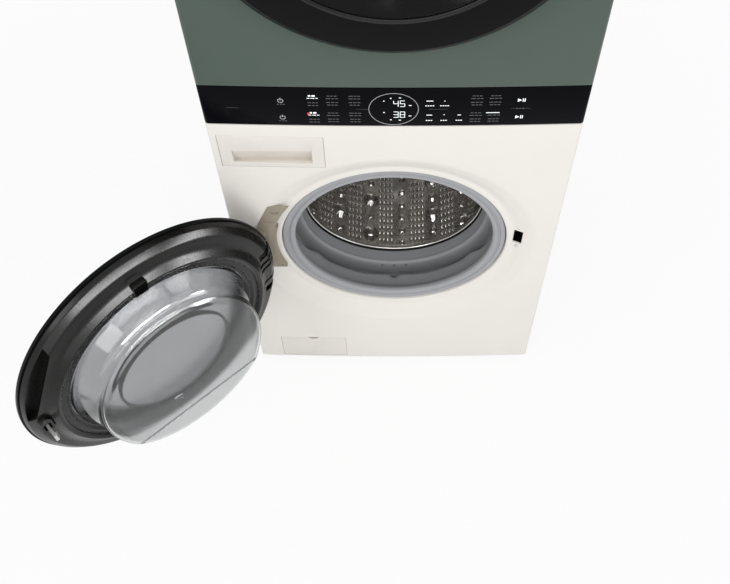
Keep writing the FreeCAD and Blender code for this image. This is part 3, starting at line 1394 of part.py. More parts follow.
def motor_stator():
    """Wound stator ring bolted to the back of the tub, with its teeth."""
    y = (TUB_BACK_Y + TUB_WALL, TUB_BACK_Y + TUB_WALL + STATOR_D)
    root = STATOR_R - STATOR_TOOTH
    ring = ring_y(root, BEARING_R + HUB_WALL + STATOR_FIT, y, 0, WASHER_Z)
    tooth = box(around(0, STATOR_TOOTH_W), (y[0] + STATOR_TOOTH_IN, y[1] - STATOR_TOOTH_IN),
                (WASHER_Z + root - STATOR_FIT, WASHER_Z + STATOR_R))
    teeth = [turn_about(tooth, WASHER_Z, k * 360 / STATOR_TEETH) for k in range(STATOR_TEETH)]
    return fused([ring] + teeth)


def motor_rotor():
    """Magnet cup on the end of the drum shaft."""
    y = TUB_BACK_Y + TUB_WALL + ROTOR_START
    end = y + ROTOR_D
    hub = SHAFT_R + ROTOR_HUB
    bore = STATOR_R + ROTOR_AIR
    face = HUB_END_Y + BEARING_GAP
    return turned([(ROTOR_R, y), (ROTOR_R, end, ROTOR_WALL), (hub, end), (hub, end + ROTOR_BOSS),
                   (SHAFT_R, end + ROTOR_BOSS), (SHAFT_R, face), (hub, face), (hub, end - ROTOR_WALL),
                   (bore, end - ROTOR_WALL), (bore, y)], WASHER_Z, 0.0)


# Washer water
def inner_hoses():
    """Rubber hoses inside the washer: sump to pump, dispenser to tub, valves to dispenser."""
    elbow = (SUMP_X, SUMP_Y, PUMP_Z)
    sump = pipe([(SUMP_X, SUMP_Y, sump_top()), elbow, (PUMP_X + PUMP_R + FIT, SUMP_Y, PUMP_Z)],
                [SUMP_BEND], SUMP_R, SUMP_BORE)
    dx, dy = dispenser_outlet()
    feed = tube(FEED_R, SPOUT_BORE, (dx, dy, feed_foot() + FEED_GAP), (dx, dy, housing_box()[2][0] - SPOUT_LEN))
    ix, iz = dispenser_inlet()
    start, turn = housing_box()[1][1] + INLET_LEN, VALVE_Y - FILL_BACK
    vx = valve_places()[0]
    fill = pipe([(ix, start, iz), (ix, turn, iz), (vx, turn, iz), (vx, VALVE_Y, iz)], [FILL_BEND, FILL_BEND],
                INLET_R, INLET_BORE)
    return Part.makeCompound([sump, feed, fill])


def valve_places():
    return VALVE_X, VALVE_X + VALVE_PITCH


def valve_z():
    """Height of the inlets, level with the water inlet of the dispenser."""
    return dispenser_inlet()[1]


def inlet_valves():
    """Hot and cold inlet valves on one bracket, each with a threaded spigot through the back."""
    z = valve_z()
    parts = [box((VALVE_X - VALVE_SIDE, VALVE_X + VALVE_PITCH + VALVE_SIDE),
                 (REAR_FLANGE_Y - VALVE_PLATE_T, REAR_FLANGE_Y + SHEET), around(z, VALVE_PLATE_H))]
    coil_y = (VALVE_Y + COIL_IN, VALVE_Y + COIL_IN + COIL_W)
    for x in valve_places():
        parts.append(disc_y(VALVE_R, (VALVE_Y, REAR_FLANGE_Y), x, z))
        parts.append(disc_y(VALVE_THREAD_R - VALVE_NECK, (REAR_FLANGE_Y, BACK_Y), x, z))
        parts.append(disc_y(VALVE_THREAD_R, (BACK_Y, BACK_Y + VALVE_OUT), x, z))
        parts.append(box(around(x, COIL_W), coil_y, (z, z + COIL_H)))
    whole = fused(parts)
    for x in valve_places():
        whole = whole.cut(disc_y(VALVE_THREAD_R - VALVE_WALL, (REAR_FLANGE_Y, BACK_Y + VALVE_OUT + PAST), x, z))
    return whole


def drain_pipe():
    """Pipe from the pump to the drain spigot on the back."""
    start = PUMP_X - PUMP_R - PAST
    end = BACK_Y + SPIGOT_OUT
    run = pipe([(start, SUMP_Y, PUMP_Z), (DRAIN_X, SUMP_Y, PUMP_Z), (DRAIN_X, SUMP_Y + DRAIN_RUN, DRAIN_Z),
                (DRAIN_X, end, DRAIN_Z)], [DRAIN_BEND, DRAIN_LIFT_BEND], DRAIN_R, DRAIN_BORE)
    return fused([run, ring_y(SPIGOT_R, DRAIN_BORE, (BACK_Y, end), DRAIN_X, DRAIN_Z)])


def power_inlet():
    """Terminal box with the gland that takes the mains lead."""
    w = TERMINAL_WALL
    front = DRYER_PLATE_Y + TERMINAL_GAP
    top = GLAND_Z + TERMINAL_UP
    case = box(around(GLAND_X, TERMINAL_W), (front, REAR_FLANGE_Y + SHEET), (DECK_Z, top))
    hollow = box(around(GLAND_X, TERMINAL_W - 2 * w), (front + w, REAR_FLANGE_Y - w), (DECK_Z + w, top - w))
    gland = disc_y(GLAND_OUT_R, (REAR_FLANGE_Y, BACK_Y + GLAND_OUT), GLAND_X, GLAND_Z)
    bore = disc_y(GLAND_R, (REAR_FLANGE_Y - 2 * w, BACK_Y + GLAND_OUT + PAST), GLAND_X, GLAND_Z)
    return fused([case.cut(hollow), gland]).cut(bore)


# Dryer
def lint_slot():
    """Room of the lint duct, open at the top into the funnel."""
    return box((DUCT_WALL - DUCT_SIDE, MOTOR_X + DUCT_END - DUCT_WALL), (DUCT_Y0 + DUCT_WALL, DUCT_Y1),
               (DUCT_Z + DUCT_WALL, DRYER_Z - FUNNEL_R + 2 * DUCT_LAP))


def dryer_front_bulkhead():
    """Plate behind the loading mouth, with the lint duct in front of it."""
    y = (DUCT_Y1, BLOWER_Y0)
    half = INSIDE - FIT - BULKHEAD_GAP
    plate = box((-half, half), y, (DECK_Z, DRYER_TOP))
    duct = box((-DUCT_SIDE, MOTOR_X + DUCT_END), (DUCT_Y0, DUCT_Y1), (DUCT_Z, DRYER_Z - FUNNEL_R + DUCT_LAP))
    whole = plate.fuse(duct).cut(disc_y(FUNNEL_R, (DUCT_Y0 - PAST, y[1] + PAST), 0, DRYER_Z)).cut(lint_slot())
    return whole.cut(disc_y(BLOWER_EYE, (y[0] - PAST, y[1] + PAST), MOTOR_X, MOTOR_Z)).removeSplitter()


def dryer_funnel():
    """Loading funnel with the ring that the drum glides on."""
    tube_y = (FRONT_Y + DISH_DEPTH + FUNNEL_SETBACK, DRYER_FRONT_Y + FUNNEL_IN)
    funnel = ring_y(FUNNEL_R, FUNNEL_R - FUNNEL_WALL, tube_y, 0, DRYER_Z).cut(lint_slot())
    glide = ring_y(GLIDE_R, GLIDE_R - GLIDE_W, (BLOWER_Y0, DRYER_FRONT_Y + GLIDE_IN), 0, DRYER_Z)
    cone = ring_y(GLIDE_R - CONE_LAP, FUNNEL_R - FUNNEL_WALL / 2, (tube_y[1] - CONE_T, tube_y[1]), 0, DRYER_Z)
    return fused([funnel, glide, cone])


def lint_filter():
    """Mesh blade that drops into the lint duct, with a grip on its top edge."""
    y = (DUCT_Y0 + LINT_GAP, DUCT_Y1 - LINT_GAP)
    top = DRYER_Z - FUNNEL_R + LINT_TOP
    low = DUCT_Z + DUCT_WALL + FIT
    frame = box(around(0, LINT_W), y, (low, top))
    pitch = (LINT_W - 2 * LINT_FRAME + LINT_BAR) / LINT_BARS
    for k in range(LINT_BARS):
        x = LINT_FRAME - LINT_W / 2 + pitch * k
        frame = frame.cut(box((x, x + pitch - LINT_BAR), (y[0] + LINT_WALL, y[1] + PAST), (low + LINT_FOOT, top - LINT_HEAD)))
    grip_z = (top - LINT_FOOT, top - LINT_FOOT + LINT_GRIP_H)
    grip = box(around(0, LINT_GRIP_W), (y[0] - LINT_GRIP_T, y[1] + LINT_GRIP_T), grip_z)
    return fused([frame, grip])


def blower_housing():
    """Scroll round the blower wheel, open to the lint duct at the front."""
    w = BLOWER_WALL
    y = (BLOWER_Y0, BLOWER_Y1)
    within = (y[0] + w, y[1] - w)
    low = EXHAUST_Z - EXHAUST_R
    shell = disc_y(BLOWER_R, y, MOTOR_X, MOTOR_Z).fuse(box((NECK_X, MOTOR_X), y, (low, MOTOR_Z))).removeSplitter()
    inner = disc_y(BLOWER_R - w, within, MOTOR_X, MOTOR_Z)
    inner = inner.fuse(box((NECK_X - PAST, MOTOR_X), within, (low + w, MOTOR_Z - w)))
    inlet = disc_y(BLOWER_EYE, (y[0] - PAST, y[0] + 2 * w), MOTOR_X, MOTOR_Z)
    shaft_hole = disc_y(SHAFT_HOLE_R, (y[1] - 2 * w, y[1] + PAST), MOTOR_X, MOTOR_Z)
    foot = box(around(MOTOR_X, BLOWER_FOOT_W), (y[0] + BLOWER_FOOT_IN, y[1] - BLOWER_FOOT_IN),
               (DECK_Z, MOTOR_Z - BLOWER_R + BLOWER_FOOT_LAP))
    return shell.fuse(foot).cut(inner).cut(inlet).cut(shaft_hole).removeSplitter()


def exhaust_duct():
    """Round duct from the blower, across the front and back to the collar behind."""
    r, w = EXHAUST_R, BLOWER_WALL
    x0, x1 = NECK_X - SLEEVE_LEN, NECK_X
    z0, z1 = EXHAUST_Z - r, EXHAUST_Z + SLEEVE_UP
    end = BACK_Y + EXHAUST_OUT
    run = pipe([(x0, NECK_Y, EXHAUST_Z), (EXHAUST_X, NECK_Y, EXHAUST_Z), (EXHAUST_X, end, EXHAUST_Z)],
               [r + EXHAUST_BEND], r, EXHAUST_BORE)
    wide = around(NECK_Y, 2 * r)
    plate = box((x0, x0 + EXHAUST_WALL), wide, (z0, EXHAUST_Z + r))
    sleeve = box((x0, x1), wide, (z0, z1))
    hollow = box((x0 + EXHAUST_WALL, x1 - w), (wide[0] + w, wide[1] - w), (z0 + w, z1 - w))
    hollow = hollow.fuse(box((x1 - 2 * w, x1 + PAST), (BLOWER_Y0 + w, BLOWER_Y1 - w), (z0 + w, z1 - w)))
    hole = rod(EXHAUST_BORE, (x0 - PAST, NECK_Y, EXHAUST_Z), (x0 + 2 * w, NECK_Y, EXHAUST_Z))
    collar = ring_y(COLLAR_OUT_R, EXHAUST_BORE, (BACK_Y, end), EXHAUST_X, EXHAUST_Z)
    return fused([run, collar, plate.fuse(sleeve).cut(hollow).cut(hole)])


def dryer_motor():
    """Induction motor on its bracket, bored for the shaft."""
    body = disc_y(MOTOR_R, (MOTOR_Y0, MOTOR_Y1), MOTOR_X, MOTOR_Z)
    bracket = box(around(MOTOR_X, MOTOR_FOOT_W), (MOTOR_Y0 + MOTOR_FOOT_IN, MOTOR_Y1 - MOTOR_FOOT_IN),
                  (DECK_Z, MOTOR_Z - MOTOR_FOOT_LAP))
    bore = disc_y(MOTOR_SHAFT_R + RUNNING, (MOTOR_Y0 - PAST, MOTOR_Y1 + PAST), MOTOR_X, MOTOR_Z)
    return fused([body, bracket]).cut(bore)


def motor_shaft():
    """Motor shaft with the belt pulley turned on its end."""
    start, end = BELT_Y - PAST, BELT_Y + BELT_W + PAST
    parts = [disc_y(MOTOR_SHAFT_R, (WHEEL_Y, BELT_Y + BELT_W + SHAFT_TAIL), MOTOR_X, MOTOR_Z),
             disc_y(PULLEY_R, (start, end), MOTOR_X, MOTOR_Z)]
    for y in (start - PULLEY_FLANGE_T, end):
        parts.append(disc_y(PULLEY_R + PULLEY_FLANGE, (y, y + PULLEY_FLANGE_T), MOTOR_X, MOTOR_Z))
    return fused(parts)


def blower_wheel():
    """Squirrel-cage wheel on the front end of the motor shaft."""
    y0, y1 = WHEEL_Y, WHEEL_Y + WHEEL_D
    r, w = BLOWER_R - WHEEL_GAP, WHEEL_WALL
    back = disc_y(r, (y1 - w, y1), MOTOR_X, MOTOR_Z)
    hub = disc_y(WHEEL_HUB_R, (y0, y1), MOTOR_X, MOTOR_Z)
    front = ring_y(r, r - WHEEL_RING, (y0, y0 + w), MOTOR_X, MOTOR_Z)
    blades = []
    for k in range(WHEEL_BLADES):
        blade = box(around(MOTOR_X, w), (y0, y1), (MOTOR_Z + r - WHEEL_RING + w / 2, MOTOR_Z + r - w / 2))
        blade.rotate(Vector(MOTOR_X, 0, MOTOR_Z), Vector(0, 1, 0), k * 360 / WHEEL_BLADES)
        blades.append(blade)
    bore = disc_y(MOTOR_SHAFT_R, (y0 - PAST, y1 + PAST), MOTOR_X, MOTOR_Z)
    return fused([back, hub, front] + blades).cut(bore)


def drum_belt():
    """Flat belt round the dryer drum and the motor pulley."""
    drum, pulley = Vector(0, 0, DRYER_Z), Vector(MOTOR_X, 0, MOTOR_Z)

    def loop(offset):
        big, small = DRYER_DRUM_R + FIT + offset, PULLEY_R + FIT + offset
        gap = pulley - drum
        lean = math.acos((big - small) / gap.Length)
        heading = math.atan2(gap.z, gap.x)

        def at(centre, radius, angle):
            return Vector(centre.x + radius * math.cos(angle), BELT_Y, centre.z + radius * math.sin(angle))
        a, b = heading + lean, heading - lean
        edges = [
            Part.Arc(at(drum, big, a), at(drum, big, heading + math.pi), at(drum, big, b)).toShape(),
            Part.LineSegment(at(drum, big, b), at(pulley, small, b)).toShape(),
            Part.Arc(at(pulley, small, b), at(pulley, small, heading), at(pulley, small, a)).toShape(),
            Part.LineSegment(at(pulley, small, a), at(drum, big, a)).toShape(),
        ]
        return Part.Face(Part.Wire(edges)).extrude(Vector(0, BELT_W, 0))
    return loop(BELT_T).cut(loop(0.0))


def dryer_drum():
    """Open cylinder with three lifters pressed into its wall."""
    r, w = DRYER_DRUM_R, DRYER_DRUM_WALL
    y = (DRYER_FRONT_Y, DRYER_BULKHEAD_Y - DRYER_DRUM_GAP)
    inside = disc_y(r - w / 2, y, 0, DRYER_Z)
    half, d = DRYER_LIFTER_W / 2, DRYER_LIFTER_DRAFT
    foot, top = DRYER_Z + r, DRYER_Z + r - DRYER_LIFTER_H
    lifter = prism_y([(-half, foot), (d - half, top, DRYER_LIFTER_R), (half - d, top, DRYER_LIFTER_R), (half, foot)],
                     (y[0] + DRYER_LIFTER_FRONT, y[1] - DRYER_LIFTER_BACK))
    parts = [ring_y(r, r - w, y, 0, DRYER_Z)]
    for angle in (30, 150, 270):
        parts.append(turn_about(lifter, DRYER_Z, angle).common(inside))
    return fused(parts)


def roller_places():
    reach = DRYER_DRUM_R + ROLLER_R + FIT
    a = math.radians(ROLLER_ANGLE)
    return [(side * reach * math.sin(a), DRYER_Z - reach * math.cos(a)) for side in (-1, 1)]


def dryer_rear_bulkhead():
    """Back wall of the dryer drum, with the air inlet, the felt ring and the roller axles."""
    y = (DRYER_BULKHEAD_Y, DRYER_PLATE_Y)
    past = (y[0] - PAST, y[1] + PAST)
    half = INSIDE - FIT - BULKHEAD_GAP
    plate = box((-half, half), y, (DECK_Z, DRYER_TOP))
    felt = ring_y(GLIDE_R, GLIDE_R - GLIDE_W, (y[0] - GLIDE_IN, y[0]), 0, DRYER_Z)
    vents = [disc_y(VENT_R, past, VENT_PITCH * x, DRYER_Z + VENT_UP + VENT_PITCH * up)
             for x in range(-VENT_COLUMNS, VENT_COLUMNS + 1) for up in range(-VENT_ROWS, VENT_ROWS + 1)]
    plate = plate.cut(Part.makeCompound(vents))
    plate = plate.cut(disc_y(EXHAUST_R + 2 * PAST, past, EXHAUST_X, EXHAUST_Z))
    axles = [disc_y(ROLLER_AXLE_R, (ROLLER_Y0 - ROLLER_AXLE_END, y[0]), x, z) for x, z in roller_places()]
    collars = [disc_y(ROLLER_AXLE_R + ROLLER_COLLAR, (ROLLER_Y1 + FIT, y[0]), x, z) for x, z in roller_places()]
    return plate.multiFuse([felt] + axles + collars).removeSplitter()


def drum_roller(side):
    x, z = roller_places()[side]
    return ring_y(ROLLER_R, ROLLER_AXLE_R + RUNNING, (ROLLER_Y0, ROLLER_Y1), x, z)


def heater_duct():
    """Flat heater case between the rear bulkhead and the back cover."""
    w = HEATER_WALL
    x = around(0, HEATER_W)
    y = (DRYER_PLATE_Y, REAR_FLANGE_Y - HEATER_GAP)
    z = (DRYER_Z, DRYER_Z + HEATER_H)
    hollow = box((x[0] + w, x[1] - w), (y[0] - PAST, y[1] - w), (z[0] + w, z[1] - w))
    pitch = HEATER_H / (BAR_COUNT + 1)
    bars = [box(x, (y[0] + BAR_IN, y[0] + BAR_IN + BAR_D), around(z[0] + pitch * k, BAR_T))
            for k in range(1, BAR_COUNT + 1)]
    return fused([box(x, y, z).cut(hollow)] + bars)


NODES = {
    "base_pan": base_pan,
    "levelling_feet": levelling_feet,
    "left_side_panel": lambda: side_panel(-1),
    "right_side_panel": lambda: side_panel(1),
    "top_cover": top_cover,
    "washer_back_cover": washer_back_cover,
    "dryer_back_cover": dryer_back_cover,
    "mid_deck": mid_deck,
    "washer_front_panel": washer_front_panel,
    "dryer_front_panel": dryer_front_panel,
    "control_panel": control_panel,
    "control_board": control_board,
    "washer_hinge_plate": lambda: hinge_plate(WASHER_Z),
    "washer_door_lock": washer_door_lock,
    "washer_door_cover": lambda: swung(door_cover(WASHER_Z)),
    "washer_door_window": lambda: swung(door_window(WASHER_Z)),
    "washer_door_frame": lambda: swung(washer_door_frame()),
    "washer_door_bowl": lambda: swung(washer_door_bowl()),
    "washer_hinge_arm": lambda: swung(hinge_arm(WASHER_Z)),
    "washer_door_hook": lambda: swung(washer_door_hook()),
    "drawer_front": drawer_front,
    "drawer_tray": drawer_tray,
    "dispenser_housing": dispenser_housing,
    "service_flap": service_flap,
    "drain_pump": drain_pump,
    "pump_filter": pump_filter,
    "outer_tub": outer_tub,
    "tub_front_cover": tub_front_cover,
    "door_gasket": door_gasket,
    "counterweights": counterweights,
    "tub_suspension": tub_suspension,
    "washer_drum": washer_drum,
    "drum_lifters": drum_lifters,
    "drum_spider": drum_spider,
    "tub_bearings": tub_bearings,
    "motor_stator": motor_stator,
    "motor_rotor": motor_rotor,
    "inner_hoses": inner_hoses,
    "inlet_valves": inlet_valves,
    "drain_pipe": drain_pipe,
    "power_inlet": power_inlet,
    "dryer_hinge_plate": lambda: hinge_plate(DRYER_Z),
    "dryer_door_cover": lambda: door_cover(DRYER_Z),
    "dryer_door_window": lambda: door_window(DRYER_Z),
    "dryer_door_frame": dryer_door_frame,
    "dryer_hinge_arm": lambda: hinge_arm(DRYER_Z),
    "dryer_front_bulkhead": dryer_front_bulkhead,
    "dryer_funnel": dryer_funnel,
    "lint_filter": lint_filter,
    "blower_housing": blower_housing,
    "exhaust_duct": exhaust_duct,
    "dryer_motor": dryer_motor,
    "motor_shaft": motor_shaft,
    "blower_wheel": blower_wheel,
    "drum_belt": drum_belt,
    "dryer_drum": dryer_drum,
    "dryer_rear_bulkhead": dryer_rear_bulkhead,
    "left_drum_roller": lambda: drum_roller(0),
    "right_drum_roller": lambda: drum_roller(1),
    "heater_duct": heater_duct,
}


def main():
    os.makedirs("parts", exist_ok=True)
    foot_x, foot_y = foot_places()[0]
    for name, make in NODES.items():
        shape = make()
        shape.translate(Vector(-foot_x, -foot_y, 0))
        print(name, len(shape.Solids), "solids", shape.isValid(), round(shape.Volume / 1000, 1), "cm3")
        shape.exportStep("parts/" + name + ".step")


main()
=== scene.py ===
"""Stacked washer dryer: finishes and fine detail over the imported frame."""
import math

import bmesh
import bpy
from mathutils import Matrix, Vector


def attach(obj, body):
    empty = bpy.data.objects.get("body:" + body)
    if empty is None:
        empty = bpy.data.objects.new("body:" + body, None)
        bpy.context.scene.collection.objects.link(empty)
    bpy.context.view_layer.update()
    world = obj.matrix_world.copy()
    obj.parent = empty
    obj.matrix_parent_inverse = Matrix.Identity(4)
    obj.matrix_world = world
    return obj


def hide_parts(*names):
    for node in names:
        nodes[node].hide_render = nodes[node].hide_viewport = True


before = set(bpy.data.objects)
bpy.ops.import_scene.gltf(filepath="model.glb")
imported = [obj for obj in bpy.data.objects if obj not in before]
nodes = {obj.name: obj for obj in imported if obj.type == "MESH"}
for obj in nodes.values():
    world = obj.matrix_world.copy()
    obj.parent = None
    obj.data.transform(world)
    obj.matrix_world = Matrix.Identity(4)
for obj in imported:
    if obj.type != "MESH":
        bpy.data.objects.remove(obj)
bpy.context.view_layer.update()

# Sizes in millimetres from the cabinet's middle on the floor
FOOT_X = 281.0
FOOT_Y = 298.0
HALF_W = 343.0
FRONT_Y = -360.0
BACK_Y = 360.0
TOP_Z = 1889.0
CROWN = 6.0
CROWN_R = (HALF_W ** 2 + CROWN ** 2) / (2 * CROWN)
WASHER_TOP = 911.5
CONTROL_Z0 = 913.0
CONTROL_Z1 = 1009.0
WASHER_Z = 516.0
DRYER_Z = 1424.5
DOOR_R = 300.0
RIM_Y = -394.0
HINGE_X = -278.0
OPEN_ANGLE = 138.0
EAR_SPAN = 118.0

MM = 0.001
TO_FRAME = Matrix.Translation((FOOT_X * MM, FOOT_Y * MM, 0)) @ Matrix.Scale(MM, 4)
HINGE = Matrix.Translation((HINGE_X, RIM_Y, 0))
SWUNG = TO_FRAME @ HINGE @ Matrix.Rotation(math.radians(-OPEN_ANGLE), 4, "Z") @ HINGE.inverted()


# Finishes
class Wire:
    """An output of a finish's node, with arithmetic that adds Math nodes."""

    def __init__(self, finish, socket):
        self.finish = finish
        self.socket = socket

    def maths(self, operation, first, second):
        return self.finish.node("ShaderNodeMath", {"operation": operation}, {0: first, 1: second})

    def __add__(self, other):
        return self.maths("ADD", self, other)

    def __sub__(self, other):
        return self.maths("SUBTRACT", self, other)

    def __rsub__(self, other):
        return self.maths("SUBTRACT", other, self)

    def __mul__(self, other):
        return self.maths("MULTIPLY", self, other)

    def __pow__(self, other):
        return self.maths("POWER", self, other)

    __radd__ = __add__
    __rmul__ = __mul__


class Nodes:
    """A node tree that is built node by node."""

    def __init__(self, owner):
        owner.use_nodes = True
        self.tree = owner.node_tree

    def node(self, kind, settings, sockets, output=0):
        made = self.tree.nodes.new(kind)
        for key, value in settings.items():
            setattr(made, key, value)
        self.fill(made, sockets)
        return Wire(self, made.outputs[output])

    def fill(self, made, sockets):
        for key, value in sockets.items():
            if isinstance(value, Wire):
                self.tree.links.new(value.socket, made.inputs[key])
            else:
                made.inputs[key].default_value = value

    def seen_rays(self):
        """One for a ray from the camera, off gloss or through glass."""
        rays = ("Is Camera Ray", "Is Glossy Ray", "Is Transmission Ray")
        path = [self.node("ShaderNodeLightPath", {}, {}, ray) for ray in rays]
        return self.node("ShaderNodeClamp", {}, {0: path[0] + path[1] + path[2]})


class Finish(Nodes):
    """A material with one principled shader."""

    def __init__(self, name, colour, roughness, metallic=0.0, level=0.5, **sockets):
        self.material = bpy.data.materials.new(name)
        super().__init__(self.material)
        self.shader = self.tree.nodes["Principled BSDF"]
        self.colour = (*colour, 1.0)
        self.fill(self.shader, {"Base Color": self.colour, "Roughness": roughness, "Metallic": metallic})
        self.fill(self.shader, {"Specular IOR Level": level, **sockets})

    def place(self, stretch=(1, 1, 1)):
        """Place on the piece in metres, stretched along the axes."""
        where = self.node("ShaderNodeTexCoord", {}, {}, "Object")
        return self.node("ShaderNodeVectorMath", {"operation": "MULTIPLY"}, {0: where, 1: stretch})

    def grain(self, scale, detail=2.0, stretch=(1, 1, 1)):
        sockets = {"Vector": self.place(stretch), "Scale": scale, "Detail": detail}
        return self.node("ShaderNodeTexNoise", {}, sockets)

    def cells(self, scale):
        return self.node("ShaderNodeTexVoronoi", {}, {"Vector": self.place(), "Scale": scale})

    def ramp(self, wire, low, high, start=0.0, end=1.0):
        return self.node("ShaderNodeMapRange", {}, {0: wire, 1: low, 2: high, 3: start, 4: end})

    def blend(self, first, second, factor):
        return self.node("ShaderNodeMix", {"data_type": "RGBA"}, {0: factor, 6: first, 7: second}, 2)

    def tone(self, share, factor):
        """The finish's colour, darker by a share where the factor is one."""
        dark = [c * (1 - share) for c in self.colour[:3]] + [1.0]
        self.fill(self.shader, {"Base Color": self.blend(self.colour, dark, factor)})

    def rough(self, wire):
        self.fill(self.shader, {"Roughness": wire})

    def relief(self, height, depth):
        bump = self.node("ShaderNodeBump", {}, {"Strength": 1.0, "Distance": depth, "Height": height})
        self.fill(self.shader, {"Normal": bump})


def srgb(*values):
    """Linear colour of a display colour written from 0 to 255."""
    return [((v / 255 + 0.055) / 1.055) ** 2.4 if v > 10 else v / 255 / 12.92 for v in values]


def painted(name, colour, roughness=0.38):
    """Baked enamel on steel sheet, with a slight orange peel."""
    made = Finish(name, colour, roughness, level=0.25)
    made.tone(0.05, made.grain(7.0))
    made.rough(made.ramp(made.grain(40.0, 3.0), 0.3, 0.7, roughness - 0.05, roughness + 0.05))
    made.relief(made.grain(520.0, 1.0), 0.00006)
    return made.material


def moulded(name, colour, roughness=0.5, level=0.5):
    """Moulded plastic or rubber with a fine spark-eroded grain."""
    made = Finish(name, colour, roughness, level=level)
    made.tone(0.12, made.grain(18.0))
    made.rough(made.ramp(made.grain(90.0, 3.0), 0.3, 0.7, roughness - 0.06, roughness + 0.06))
    made.relief(made.cells(1500.0), 0.00004)
    return made.material


def glossy(name, colour, roughness=0.08, level=0.5):
    """Polished plastic with a faint wave and dust-fine scuffs."""
    made = Finish(name, colour, roughness, level=level)
    made.tone(0.1, made.grain(9.0))
    scuffs = made.grain(260.0, 4.0, (1, 1, 0.2))
    made.rough(made.ramp(scuffs, 0.45, 0.8, roughness, roughness + 0.08))
    made.relief(made.grain(30.0, 1.0), 0.00003)
    return made.material


def metal(name, colour, roughness, stretch=(1, 1, 1), scale=300.0, share=1.0):
    """Bare metal with fine rolling marks."""
    made = Finish(name, colour, roughness, share)
    lines = made.grain(scale, 4.0, stretch)
    made.tone(0.15, made.ramp(lines, 0.3, 0.75))
    made.rough(made.ramp(made.grain(60.0, 3.0, stretch), 0.3, 0.7, roughness - 0.05, roughness + 0.08))
    made.relief(lines, 0.00002)
    return made.material


def spangled(name, colour):
    """Galvanised sheet with its pale crystal patches."""
    made = Finish(name, colour, 0.42, 0.85)
    patches = made.node("ShaderNodeTexVoronoi", {}, {"Vector": made.place(), "Scale": 130.0}, "Color")
    made.tone(0.12, made.ramp(patches, 0.1, 0.9))
    made.rough(made.ramp(patches, 0.0, 1.0, 0.34, 0.52))
    made.relief(made.grain(240.0, 2.0), 0.00004)
    return made.material


def glass(name, colour, roughness=0.08, index=1.47):
    """Polished glass with a faint unevenness in its tint and shine."""
    made = Finish(name, colour, roughness, **{"Transmission Weight": 1.0, "IOR": index})
    made.tone(0.03, made.grain(12.0))
    made.rough(made.ramp(made.grain(25.0, 2.0), 0.3, 0.8, roughness, roughness + 0.01))
    return made.material


def gasket_rubber(name, colour, lip=(-338, -318), fold_r=(209, 222), fold=(-290, -281)):
    """Grey rubber with painted shade: darker behind its lip and down in the fold, where the rubber lies in
    shade.
    """
    made = Finish(name, colour, 0.45, level=0.3)
    across, depth, up = [made.node("ShaderNodeSeparateXYZ", {}, {0: made.place()}, axis) for axis in "XYZ"]
    across = across - FOOT_X * MM
    up = up - WASHER_Z * MM
    radius = (across * across + up * up) ** 0.5
    # Painted shade behind the lip and in the fold, plus a random mottle from the grain.
    behind = made.ramp(depth, (FOOT_Y + lip[0]) * MM, (FOOT_Y + lip[1]) * MM)
    fold_shade_reach = made.ramp(radius, fold_r[0] * MM, fold_r[1] * MM)
    folded = fold_shade_reach * made.ramp(depth, (FOOT_Y + fold[0]) * MM, (FOOT_Y + fold[1]) * MM)
    shade = made.ramp(behind * 0.34 + folded * 0.32 + made.grain(30.0) * 0.12, 0.0, 1.1)
    made.tone(0.62, shade)
    made.rough(made.ramp(made.grain(90.0, 3.0), 0.3, 0.7, 0.4, 0.55))
    made.relief(made.cells(1500.0), 0.00004)
    return made.material


def lit(name, colour, strength):
    """Back-lit print behind the panel."""
    made = Finish(name, colour, 0.4, **{"Emission Strength": strength})
    glow = made.ramp(made.grain(400.0, 2.0), 0.2, 0.8, 0.0, 0.15)
    dim = [c * 0.6 for c in colour] + [1.0]
    made.fill(made.shader, {"Emission Color": made.blend((*colour, 1.0), dim, glow)})
    return made.material


ivory_paint = painted("ivory_paint", srgb(238, 234, 228))
# Darker, warmer copy of the ivory plastic, painted shade for the finger scoop's liner.
scoop_plastic_painted_shade = moulded("scoop_plastic_painted_shade", srgb(230, 223, 214), 0.45, 0.3)
ivory_plastic = moulded("ivory_plastic", srgb(236, 232, 225), 0.42, 0.3)
sage_paint = painted("sage_paint", srgb(78, 91, 84))
silver_paint = painted("silver_paint", srgb(140, 148, 149))
zinc_sheet = spangled("zinc_sheet", srgb(190, 193, 196))
panel_black = glossy("panel_black", srgb(12, 12, 16), 0.1, 0.03)
door_black = glossy("door_black", srgb(13, 13, 15), 0.16, 0.07)
ring_black = glossy("ring_black", srgb(15, 14, 13), 0.24, 0.26)
# Black plastic of the door lock, also used for the strips under the louvres, which are painted shade.
black_plastic_and_slot_shade = moulded("black_plastic_and_slot_shade", srgb(12, 12, 12), 0.5, 0.2)
clear_glass = glass("clear_glass", (0.74, 0.75, 0.75))
smoked_glass = glass("smoked_glass", (0.42, 0.42, 0.44), 0.16)
dark_glass = glass("dark_glass", (0.01, 0.01, 0.012), 0.12, 1.26)
